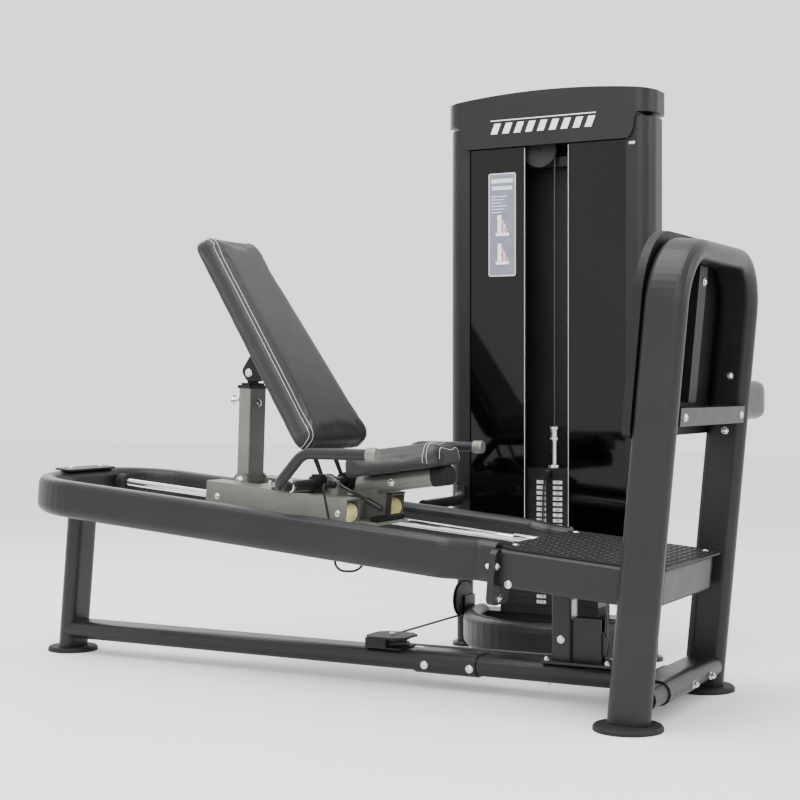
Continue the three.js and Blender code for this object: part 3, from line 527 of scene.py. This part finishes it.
# An outline whose corners, [x, y, radius], are rounded, and which is drawn in by an inset.
def outline(corners, inset, steps=9):
    points = []
    for i, (x, y, radius) in enumerate(corners):
        here = Vector((x, y))
        back = (Vector(corners[i - 1][:2]) - here).normalized()
        on = (Vector(corners[(i + 1) % len(corners)][:2]) - here).normalized()
        half = back.angle(on) / 2
        centre = here + (back + on).normalized() * (radius / math.sin(half))
        start = here + back * (radius / math.tan(half)) - centre
        turn = math.pi - 2 * half
        sign = 1 if back.x * on.y - back.y * on.x < 0 else -1
        for k in range(steps + 1):
            a = sign * turn * k / steps
            spoke = Vector((
                start.x * math.cos(a) - start.y * math.sin(a),
                start.x * math.sin(a) + start.y * math.cos(a),
            ))
            points.append(centre + spoke * ((radius - inset) / radius))
    return points


# The sewn cover before it is stuffed: a slab whose front edge is well rounded and whose back is flat.
def coverSlab(look):
    bm = bmesh.new()
    shy, edge, thick = look["shy"], look["edge"], look["thick"] - look["shy"]
    layers = [(shy + 5, 0.0), (shy + 1.5, 1.5), (shy, 5.0)]
    for k in range(7):
        a = math.pi / 2 * k / 6
        layers.append((shy + edge * (1 - math.cos(a)), thick - edge + edge * math.sin(a)))
    rings = []
    for inset, height in layers:
        ring = [Vector((p.x, p.y, height)) / 1000 for p in outline(look["corners"], inset)]
        rings.append([bm.verts.new(p) for p in ring])
    for low, high in zip(rings, rings[1:]):
        for k in range(len(low)):
            n = (k + 1) % len(low)
            bm.faces.new((low[k], low[n], high[n], high[k]))
    bm.faces.new(list(reversed(rings[0])))
    bm.faces.new(rings[-1])
    return finishMesh("cover", bm)


# Turns a piece's modifiers into its mesh.
def applied(piece):
    bpy.context.view_layer.update()
    made = piece.evaluated_get(bpy.context.evaluated_depsgraph_get())
    mesh = bpy.data.meshes.new_from_object(made)
    piece.modifiers.clear()
    old, piece.data = piece.data, mesh
    bpy.data.meshes.remove(old)


# Fills the cover with foam: pressure swells the cloth off its board, and a cap holds the swelling in.
def stuff(piece, look):
    remesh = piece.modifiers.new("remesh", "REMESH")
    remesh.mode = "VOXEL"
    remesh.voxel_size = look["voxel"] / 1000
    remesh.use_smooth_shade = True
    applied(piece)
    rest = [v.co.copy() for v in piece.data.vertices]
    board = piece.vertex_groups.new(name="board")
    board.add([i for i, co in enumerate(rest) if co.z < look["board"] / 1000], 1, "REPLACE")
    cloth = piece.modifiers.new("cloth", "CLOTH")
    settings = cloth.settings
    settings.quality = 6
    settings.mass = 0.35
    settings.tension_stiffness = settings.compression_stiffness = 22
    settings.shear_stiffness = 8
    settings.bending_stiffness = 0.6
    settings.use_pressure = True
    settings.uniform_pressure_force = 4
    settings.vertex_group_mass = "board"
    settings.effector_weights.gravity = 0
    cloth.collision_settings.use_self_collision = False
    for step in range(1, 21):
        bpy.context.scene.frame_set(step)
    applied(piece)
    cap = look["cap"] / 1000
    for vertex, start in zip(piece.data.vertices, rest):
        move = vertex.co - start
        if move.length > cap:
            vertex.co = start + move * (cap / move.length)
    bpy.context.scene.frame_set(1)
    smooth = piece.modifiers.new("settle", "SMOOTH")
    smooth.factor = 0.5
    smooth.iterations = 3
    applied(piece)


# Finds the cover's surface along rays, and spaces the found points evenly.
def seamPath(tree, rays, spacing=2.0):
    found = []
    for origin, direction in rays:
        hit = tree.ray_cast(Vector(origin) / 1000, Vector(direction).normalized())[0]
        if hit:
            found.append(hit)
    path = [found[0]]
    spare = 0.0
    gap = spacing / 1000
    for a, b in zip(found, found[1:]):
        length = (b - a).length
        along = gap - spare
        while along <= length:
            path.append(a + (b - a) * (along / length))
            along += gap
        spare = length - (along - gap)
    return path


# The long side seam of the back cushion: over the top, down the front face and under the lower end.
# Each ray starts well outside the cover and points at it.
def backSeam(side, inset):
    top, low, middle, away = 607, 26, 29, 200

    def across(x):
        return side * (166 - 44 * (x + 14) / 661 - inset)

    def around(x, y, start):
        spokes = []
        for k in range(17):
            a = math.radians(start + 150 * k / 16)
            origin = (x + away * math.cos(a), y, middle + away * math.sin(a))
            spokes.append((origin, (-math.cos(a), 0, -math.sin(a))))
        return spokes

    rays = around(top, across(640), -60)
    for k in range(61):
        x = top - (top - low) * k / 60
        rays.append(((x, across(x), away), (0, 0, -1)))
    return rays + around(low, across(0), 90)


# A seam straight across the seat, down both its sides.
def seatSeam(x):
    middle, away = 26, 300
    rays = []
    for k in range(181):
        a = math.radians(-12 + 204 * k / 180)
        origin = (x, away * math.cos(a), middle + away * math.sin(a))
        rays.append((origin, (0, -math.cos(a), -math.sin(a))))
    return rays


# Presses a shallow groove into the cover where the thread pulls it down.
def sinkSeam(piece, paths, width=3.2, depth=1.3):
    points = [p for path in paths for p in path]
    finder = KDTree(len(points))
    for i, point in enumerate(points):
        finder.insert(point, i)
    finder.balance()
    normals = [v.normal.copy() for v in piece.data.vertices]
    for vertex, normal in zip(piece.data.vertices, normals):
        away = finder.find(vertex.co)[2] * 1000
        if away < width:
            vertex.co -= normal * (depth / 1000 * (0.5 + 0.5 * math.cos(math.pi * away / width)))


# Lock stitches: short lengths of thread that stand a little proud of the cover.
stitchLook = {"pitch": 5, "radius": 0.55, "proud": 0.35, "sunk": 0.25, "arch": 0.35}


def stitches(name, tree, paths, look):
    bm = bmesh.new()
    for path in paths:
        step = look["pitch"]
        for i in range(0, len(path) - step, step):
            points = []
            for k in range(step):
                where, normal = tree.find_nearest(path[i + k])[:2]
                rise = look["proud"] - look["sunk"] + look["arch"] * math.sin(math.pi * k / (step - 1))
                points.append(where + normal * (rise / 1000))
            addTube(bm, points, look["radius"] / 1000, 6)
    return finishMesh(name, bm)


def makeCushion(name, look, seams, sunk):
    piece = bpy.data.objects.new(name, coverSlab(look))
    bpy.context.collection.objects.link(piece)
    stuff(piece, look)
    finer = piece.modifiers.new("finer", "SUBSURF")
    finer.levels = finer.render_levels = 1
    applied(piece)
    mesh = piece.data
    tree = BVHTree.FromPolygons([v.co for v in mesh.vertices], [f.vertices for f in mesh.polygons])
    sinkSeam(piece, [seamPath(tree, rays, 3) for rays in sunk])
    tree = BVHTree.FromPolygons([v.co for v in mesh.vertices], [f.vertices for f in mesh.polygons])
    sewing = stitches(name + "_stitching", tree, [seamPath(tree, rays, 0.9) for rays in seams], stitchLook)
    mesh.materials.clear()
    mesh.materials.append(leather)
    for face in mesh.polygons:
        face.use_smooth = True
    piece.matrix_world = look["frame"]
    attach(piece, look["body"])
    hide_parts(look["node"])
    sewing.transform(look["frame"])
    place(name + "_stitching", sewing, thread, look["body"])
    return piece


makeCushion(
    "back_cushion", padLooks["back_cushion"],
    [backSeam(side, inset) for side in (-1, 1) for inset in (17, 26)],
    [backSeam(side, 21.5) for side in (-1, 1)],
)
makeCushion(
    "seat_cushion", padLooks["seat_cushion"],
    [seatSeam(236), seatSeam(245), seatSeam(272)],
    [seatSeam(240.5)],
)
print("cushions made")

# ---- fasteners ----
# Profiles, as radius and height: a washer under each head, and a socket in the dome and the flat screw.
domeBolt = [
    (0, -1), (8.5, -1), (8.5, 1.2), (7.8, 1.8), (6.4, 1.8),
    (6.2, 3.4), (4.6, 5), (2.6, 5.4), (2.4, 3.4), (0, 3.4),
]
flatScrew = [(0, -1), (9, -1), (9, 0.8), (7.5, 2.4), (3.4, 3), (3, 1.6), (0, 1.6)]
hexNut = [(0, -1), (9, -1), (9, 1.5), (7, 1.5), (7, 7.5), (5.8, 8.2), (4, 8.2), (4, 11), (0, 11)]

# Each fastener: body, point in millimetres, the way it faces, its profile and its size.
flangeMiddle, flangeThick = -333.9, 8
fasteners = [
    # loop to platform joint
    *[("base", onDeck(flangeMiddle + flangeThick + 0.15, s * y, z), tuple(deckAxis), domeBolt, 1.15)
      for s in (-1, 1) for y, z in ((257, -4), (232, -82))],
    *[("base", onDeck(flangeMiddle - flangeThick - 0.3, s * 259, -6), tuple(-deckAxis), hexNut, 1.0)
      for s in (-1, 1)],
    *[("base", onDeck(-300, s * 244.6, -44), (0, s, 0), domeBolt, 1.1) for s in (-1, 1)],
    # step plate
    *[("base", onDeck(x, y, 40.3), deckUpwards, flatScrew, 0.95)
      for x, y in ((-318, -176), (-318, 200), (26, -196), (26, 196))],
    # loop end plate
    *[("base", onDeck(-1758, y, 55.3), deckUpwards, domeBolt, 1.0) for y in (-66, 66)],
    # low beam sleeve
    *[("base", at(x, s * 53.4, 59), (0, s, 0), domeBolt, 1.2) for x in (-621, -495) for s in (-1, 1)],
    # support post
    *[("base", at(-262, s * 25, 146), (0, s, 0), domeBolt, 1.15) for s in (-1, 1)],
    *[("base", at(x, y, 95.3), up, hexNut, 0.85) for x in (-296, -140) for y in (-34, 34)],
    *[("base", at(x, y, 39), down, hexNut, 0.8) for x in (-296, -140) for y in (-20, 20)],
    # foot-end frame
    *[("base", at(footSlope * z + dx, s * 245, z), (0, -s, 0), domeBolt, 1.1)
      for z, dx in ((786, 2), (651, 3)) for s in (-1, 1)],
    # pulley box lid
    ("base", at(-748, 15, 120), up, domeBolt, 1.1),
    # cross bar, its sleeve below, and the footplate's stiffener
    *[("base", at(112.6, y, 690.5), footOutwards, domeBolt, 1.15) for y in (-215, 215)],
    *[("base", at(60.2, y, 60), right, hexNut, 1.1) for y in (9, 140)],
    ("base", at(85.5, 8, 1004), footOutwards, domeBolt, 1.15),
    # braces
    ("base", at(-819, 554.7, 459), near, domeBolt, 1.1),
    ("base", at(-793, 554.7, 459), near, domeBolt, 0.8),
    # weight tower
    *[("base", at(x, 555, 1432), near, flatScrew, 0.55) for x in (-297, -288)],
    # carriage axles, seat tube, back post and the foot of the post
    *[("carriage", onDeck(x, s * 154.5, 49.3), (0, s, 0), domeBolt, 1.0)
      for x in (-1190, -822) for s in (-1, 1)],
    ("carriage", at(-728, -30.2, 514), near, domeBolt, 1.1),
    *[("carriage", onDeck(-1090, y, 87), deckUpwards, hexNut, 1.0) for y in (-60, 60)],
    *[("carriage", at(-1180, s * 50.4, 508), (0, s, 0), domeBolt, 1.35) for s in (-1, 1)],
    # backrest
    *[("backrest", at(-1170, s * 21.2, 797), (0, s, 0), domeBolt, 1.35) for s in (-1, 1)],
    ("back_post", at(-1152.6, 0, 715), tuple(postSide), domeBolt, 1.2),
]
byBody = {}
for body, point, facing, profile, size in fasteners:
    byBody.setdefault(body, []).append((point, facing, profile, size))
for body, group in byBody.items():
    bm = bmesh.new()
    for point, facing, profile, size in group:
        steps = 6 if profile is hexNut else 18
        addTurned(bm, [(r * size, h * size) for r, h in profile], aim(point, facing), steps)
    place(body + "_fasteners", finishMesh(body + "_fasteners", bm), zinc, body)
print("fasteners made")

# ---- step plate tread ----
treadLook = {
    "from": -340.4, "to": 63, "half": 238, "top": 40.3,
    "pitch": 27, "long": 19, "wide": 7.5, "high": 1.6, "margin": 16,
}


# Raised lozenges, turned each way in turn, as rolled into tread plate.
def makeTread(look):
    bm = bmesh.new()
    startX, startY = look["from"] + look["margin"], -look["half"] + look["margin"]
    long, wide = look["to"] - look["margin"] - startX, -2 * startY
    columns = int(long / (look["pitch"] / 1.414))
    rows = int(wide / (look["pitch"] / 1.414))
    top = look["top"]
    for i in range(columns + 1):
        for j in range(rows + 1):
            x, y = startX + long * i / columns, startY + wide * j / rows
            screw = min(math.hypot(x - sx, y - sy) for sx in (-318, 26) for sy in (-176, -196, 196, 200))
            # the pattern stops short of the screws and of the plate's two cut corners
            if screw < 17 or (x > 38 and abs(y) > 206):
                continue
            a = math.radians(45 if (i + j) % 2 else -45)
            centre = bm.verts.new(onDeck(x, y, top + look["high"]))
            ring = []
            for k in range(10):
                t = 2 * math.pi * k / 10
                u = look["long"] / 2 * math.cos(t)
                v = look["wide"] / 2 * math.sin(t) * (0.75 + 0.25 * abs(math.sin(t)))
                ring.append((u * math.cos(a) - v * math.sin(a), u * math.sin(a) + v * math.cos(a)))
            low = [bm.verts.new(onDeck(x + u, y + v, top - 0.2)) for u, v in ring]
            shoulder = top + look["high"] * 0.9
            high = [bm.verts.new(onDeck(x + u * 0.72, y + v * 0.6, shoulder)) for u, v in ring]
            for k in range(10):
                n = (k + 1) % 10
                bm.faces.new((low[k], low[n], high[n], high[k]))
                bm.faces.new((high[k], high[n], centre))
            bm.faces.new(list(reversed(low)))
    return finishMesh("tread", bm)


place("step_tread", makeTread(treadLook), blackPlate, "base")
print("tread made")

# ---- rail ends ----
railLook = {
    "apart": 118, "height": 14, "bufferAt": -1724, "ferruleAt": -452,
    "buffer": [(10.2, 0), (22, 0), (22, 22), (19, 26), (10.2, 26), (10.2, 0)],
    "ferrule": [(10.2, 0), (13, 0), (14, 2), (14, 108), (10.2, 108), (10.2, 0)],
}
buffers = bmesh.new()
ferrules = bmesh.new()
for y in (-railLook["apart"], railLook["apart"]):
    rear = onDeck(railLook["bufferAt"], y, railLook["height"])
    addTurned(buffers, railLook["buffer"], aim(rear, deckAxis), 28)
    front = onDeck(railLook["ferruleAt"], y, railLook["height"])
    addTurned(ferrules, railLook["ferrule"], aim(front, deckAxis), 28)
place("rail_buffers", finishMesh("rail_buffers", buffers), mouldedRubber, "base")
place("rail_ferrules", finishMesh("rail_ferrules", ferrules), hardChrome, "base")

# ---- trim on the carriage ----
trim = bmesh.new()
# end cap of the seat tube
plugTurn = basis(seatUp, seatAlong, at(*(seatTube + seatAlong * 226.5)))
addPlug(trim, plugTurn, (52, 64), 21, 46)
deckTurn = basis(deckAxis, deckUp, Vector())
# buffer on the ledge
addBlock(trim, onDeck(-761, 0, 36), (26, 150, 11), deckTurn, 3)
# lid over the far roller
addBlock(trim, onDeck(-812, railLook["apart"], 89), (34, 78, 3), deckTurn, 1)
# round plate under the handle bar's near end
addTurned(trim, [(0, 0), (56, 0), (56, 3), (53, 4), (0, 4)], aim(onDeck(-985, -112, 87), deckUp), 36)
# release cable's ferrule beside the lever
addTurned(trim, [(0, 0), (7, 0), (7, 14), (5, 18), (0, 18)], aim(at(-850, -128, 504), (0, -0.4, 1)), 14)
place("carriage_trim", finishMesh("carriage_trim", trim), mouldedRubber, "carriage")

# what holds the handle bar, and the bright rings behind its end caps
clamps = bmesh.new()
for y in (-96.8, 96.8):
    addBlock(clamps, at(-906, y, 512), (44, 26, 44), ease=6)
knobProfile = [(0, 0), (5, 0), (5, 12), (9, 14), (10, 20), (8, 25), (0, 26)]
addTurned(clamps, knobProfile, aim(at(-948, -60, 497), up), 18)
place("bar_clamps", finishMesh("bar_clamps", clamps), blackPlate, "carriage")

rings = bmesh.new()
for y in (-230.48, 230.48):
    addTurned(rings, [(14.4, -7), (16.6, -6), (16.6, 6), (14.4, 7)], aim(at(-908, y, 510), far), 24)
place("bar_rings", finishMesh("bar_rings", rings), hardChrome, "carriage")

# the plastic collar in the mouth of the outer post, in four strips
collar = bmesh.new()
postTurn = basis(postSide, postUp, Vector())
for x, y, sizeX, sizeY in ((-19.5, 0, 5, 84), (19.5, 0, 5, 84), (0, -39.5, 44, 5), (0, 39.5, 44, 5)):
    middle = at(-1180, y, 508) + postUp * 0.2515 + postSide * (x / 1000)
    addBlock(collar, middle, (sizeX, sizeY, 9), postTurn, 1.5)
place("post_collar", finishMesh("post_collar", collar), etchedPlastic, "back_post")
print("carriage trim made")


# ---- printed pieces, and painted highlights on the panel edges ----
# Adds a thin sheet from its lower left corner, in the directions of its width and its height.
def addSheet(bm, corner, across, upwards, width, height, thick=0.4):
    across, upwards = Vector(across), Vector(upwards)
    outwards = across.cross(upwards).normalized()
    centre = corner + across * (width / 2000) + upwards * (height / 2000) + outwards * (thick / 2000)
    turn = Matrix((across, upwards, outwards)).transposed().to_4x4()
    addBlock(bm, centre, (width, height, thick), turn, 0)


def printed(name, ink, sheets, body="base"):
    bm = bmesh.new()
    for x, y, z, width, height, thick in sheets:
        addSheet(bm, at(x, y, z), right, up, width, height, thick)
    place(name, finishMesh(name, bm), inks[ink], body, smooth=False)


# a guide to the exercise: blocks for lines of words, and two plain seat-and-figure shapes
cardLeft, cardLow, cardWide, cardHigh, face = -729, 1077, 85, 296, 560
printed("guide_card", "grey", [(cardLeft, face, cardLow, cardWide, cardHigh, 1.0)])
cardTop = cardLow + cardHigh
border = [
    (cardLeft, face - 1, cardLow, cardWide, 3, 0.3),
    (cardLeft, face - 1, cardTop - 3, cardWide, 3, 0.3),
    (cardLeft, face - 1, cardLow, 2.5, cardHigh, 0.3),
    (cardLeft + cardWide - 2.5, face - 1, cardLow, 2.5, cardHigh, 0.3),
]
lines = [
    (cardLeft + 8, face - 1, cardTop - 28, 68, 12, 0.3),
    (cardLeft + 10, face - 1, cardTop - 48, 64, 11, 0.3),
]
lines += [(cardLeft + 8, face - 1, cardLow + 228 - 9 * k, 50 - 9 * (k % 3), 2.4, 0.3) for k in range(6)]
printed("guide_card_lines", "pale", border + lines)
figures = []
rose = []
for base in (116, 34):
    low = cardLow + base
    figures += [
        (cardLeft + 28, face - 1, low + 8, 12, 52, 0.4),
        (cardLeft + 22, face - 1, low, 42, 9, 0.4),
        (cardLeft + 46, face - 1, low + 8, 6, 26, 0.4),
    ]
    rose += [
        (cardLeft + 40, face - 1.2, low + 12, 20, 9, 0.4),
        (cardLeft + 40, face - 1.2, low + 30, 9, 14, 0.4),
    ]
printed("guide_card_shapes", "white", figures)
printed("guide_card_accents", "rose", rose)

# a plain row of slanted bars on the cap
barLook = {"left": -716, "pitch": 36, "face": 545.6, "low": 1484, "high": 1514, "wide": 20, "slant": 12}
badge = bmesh.new()
for k in range(9):
    x = barLook["left"] + barLook["pitch"] * k
    loop = [
        badge.verts.new(at(x + dx, barLook["face"], z))
        for dx, z in (
            (0, barLook["low"]),
            (barLook["wide"], barLook["low"]),
            (barLook["wide"] + barLook["slant"], barLook["high"]),
            (barLook["slant"], barLook["high"]),
        )
    ]
    front = [badge.verts.new(v.co + Vector((0, -0.0012, 0))) for v in loop]
    badge.faces.new(loop)
    badge.faces.new(list(reversed(front)))
    for i in range(4):
        n = (i + 1) % 4
        badge.faces.new((loop[i], loop[n], front[n], front[i]))
place("cap_bars", finishMesh("cap_bars", badge), inks["white"], "base", smooth=False)
printed("cap_line", "white", [(barLook["left"], 544.8, 1521, 322, 2.6, 0.8)])

# painted highlights: pale strips along the edges of the two front panels
printed("panel_edge_highlights", "pale", [(-617.2, 559.4, 205, 1.6, 1236, 0.5), (-483, 559.4, 205, 1.2, 1236, 0.5)])

# weight numbers: two columns of plain labels, with the number in kilograms and in pounds
plates, stackLow, stackHigh = 23, 140, 496.7
pitch = (stackHigh - stackLow) / plates
labels = bmesh.new()
digits = []
for k in range(plates):
    low = stackLow + pitch * (plates - 1 - k) + 2.6
    for x, text in ((-585, 5 * (k + 1)), (-535, 11 * (k + 1))):
        addSheet(labels, at(x, 574, low), right, up, 28, pitch - 6, 0.4)
        curve = bpy.data.curves.new("number", "FONT")
        curve.body = str(text)
        curve.size = 0.0115
        curve.extrude = 0.00012
        curve.resolution_u = 2
        curve.align_x = "CENTER"
        number = bpy.data.objects.new("number", curve)
        number.location = at(x + 14, 573.5, low + 1.2)
        bpy.context.collection.objects.link(number)
        digits.append(number)
labelMesh = finishMesh("weight_labels", labels)
place("weight_labels", labelMesh, inks["pale"], "base", smooth=False)
bpy.context.view_layer.update()
numbers = bmesh.new()
facingNear = Matrix((Vector(right), Vector(up), Vector(near))).transposed().to_4x4()
for number in digits:
    made = bpy.data.meshes.new_from_object(number.evaluated_get(bpy.context.evaluated_depsgraph_get()))
    made.transform(Matrix.Translation(number.location) @ facingNear)
    numbers.from_mesh(made)
    bpy.data.meshes.remove(made)
    bpy.data.objects.remove(number)
numberMesh = finishMesh("weight_numbers", numbers)
place("weight_numbers", numberMesh, inks["black"], "base", smooth=False)

# a blank sticker on the support post
sticker = bmesh.new()
addSheet(sticker, at(-236.7, -18, 196), far, up, 30, 46, 0.3)
place("post_label", finishMesh("post_label", sticker), inks["pale"], "base", smooth=False)
print("printed pieces made")


# The points of a coil wound round a line, in metres.
def coilPath(line, look):
    lengths = [0]
    for a, b in zip(line, line[1:]):
        lengths.append(lengths[-1] + (b - a).length)
    steps = look["steps"]
    turns = int(lengths[-1] * 1000 / look["pitch"])
    points = []
    for k in range(turns * steps + 1):
        along = lengths[-1] * k / (turns * steps)
        i = min(max(j for j in range(len(line)) if lengths[j] <= along + 1e-9), len(line) - 2)
        t = (along - lengths[i]) / (lengths[i + 1] - lengths[i])
        a = 2 * math.pi * k / steps
        spoke = Vector((math.cos(a), math.sin(a), 0)) * look["coil"] / 1000
        points.append(line[i].lerp(line[i + 1], t) + spoke)
    return points


# The selector pin's coiled lanyard hangs from its head and ends in a small clip.
lanyardLook = {"pitch": 2.2, "coil": 4.2, "radius": 0.8, "steps": 14}
drop = roundedRoute([[-549, 549, 498], [-551, 546, 455, 20], [-553, 546, 372]])
coil = coilPath(drop, lanyardLook)
bm = bmesh.new()
addTube(bm, coil, lanyardLook["radius"] / 1000, 8)
lanyard = place("pin_lanyard", finishMesh("pin_lanyard", bm), turnedNylon, "selector_pin")
bm = bmesh.new()
clip = [(0, -8), (3.4, -8), (4.6, -6), (4.6, 4), (3, 7), (0, 7)]
addTurned(bm, clip, aim(coil[-1] - Vector((0, 0, 0.006)), up), 16)
clipPiece = place("lanyard_clip", finishMesh("lanyard_clip", bm), zinc, "selector_pin")

# The release lever's cable loops below the frame and comes back up under the carriage.
releasePath = roundedRoute([
    [-850, -131, 512], [-838, -188, 512, 20], [-812, -190, 400, 40], [-796, -192, 300, 26],
    [-742, -176, 300, 26], [-744, -70, 372, 26], [-802, -60, 384, 12], [-804, -60, 407],
])
bm = bmesh.new()
addTube(bm, releasePath, 0.003, 12)
releaseCord = place("release_cord", finishMesh("release_cord", bm), mouldedRubber, "carriage")
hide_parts("release_cable")

cableLook = {"radius": 3, "height": -20, "platform": -152, "fixedEnd": -200, "carriage": -804}
cableTop, cableFoot = 1435, 650.3


def alongDeck(key):
    return onDeck(cableLook[key], 0, cableLook["height"])


def inMillimetres(point):
    return list((point - shift) * 1000)


def cableMesh(name, points):
    bm = bmesh.new()
    addTube(bm, points, cableLook["radius"] / 1000, 10)
    return finishMesh(name, bm)


# Coated wire rope: a black sheath with the strands' slow twist showing through.
sheathed = hardSurface("sheathed wire rope", {
    "dark": "#2a2a2b", "light": "#3a3a3b", "cloud": 3, "smear": 6, "rough": (0.3, 0.5),
    "grain": 1.2, "relief": 0.4, "depth": 0.15,
})
# From over the weights: the two top pulleys, the tower's foot, the box on the low beam, the support post.
mainRun = roundedRoute([
    [-549, 620, cableTop], [-549, 620, 1485, 45], [-797, 573, 1485, 45], [-797, 573, 103, 45],
    [-789.6, -26.6, 103, 40], [-186, 0, 103], [-152, 0, 103, 33],
    [-152, 0, inMillimetres(alongDeck("platform"))[2], 33], inMillimetres(alongDeck("fixedEnd")),
])
fixedCable = place("cable_fixed_run", cableMesh("cable_fixed_run", mainRun), sheathed, "base")
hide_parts("main_cable")
upright = [at(-549, 620, cableFoot + (cableTop - cableFoot) * k / 20) for k in range(21)]
rising = place("cable_to_weights", cableMesh("cable_to_weights", upright), sheathed, "base")
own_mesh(rising)
start = alongDeck("fixedEnd")
carriageEnd = alongDeck("carriage")
deckRun = [start.lerp(carriageEnd, k / 24) for k in range(25)]
pulled = bpy.data.objects.new("cable_to_carriage", cableMesh("cable_to_carriage", deckRun))
bpy.context.collection.objects.link(pulled)
pulled.data.materials.append(sheathed)
for polygon in pulled.data.polygons:
    polygon.use_smooth = True
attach(pulled, "base")
pulled.parent = None
pulled.matrix_world = Matrix.Identity(4)
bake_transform(pulled)
print("cables made")

# ---- floor ----
floorMesh = bpy.data.meshes.new("floor")
reach = 14
corners = [(-reach, -reach, 0), (reach, -reach, 0), (reach, reach, 0), (-reach, reach, 0)]
floorMesh.from_pydata(corners, [], [(0, 1, 2, 3)])
floor = bpy.data.objects.new("floor", floorMesh)
floor.location.z = -0.0005
bpy.context.collection.objects.link(floor)
floorMesh.materials.append(hardSurface("pale studio floor", {
    "dark": "#f2f2f1", "light": "#f6f6f5", "cloud": 900, "smear": 200, "rough": (0.75, 0.9),
    "grain": 4, "relief": 0.05, "depth": 0.05,
}))
floor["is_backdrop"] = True

low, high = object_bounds()
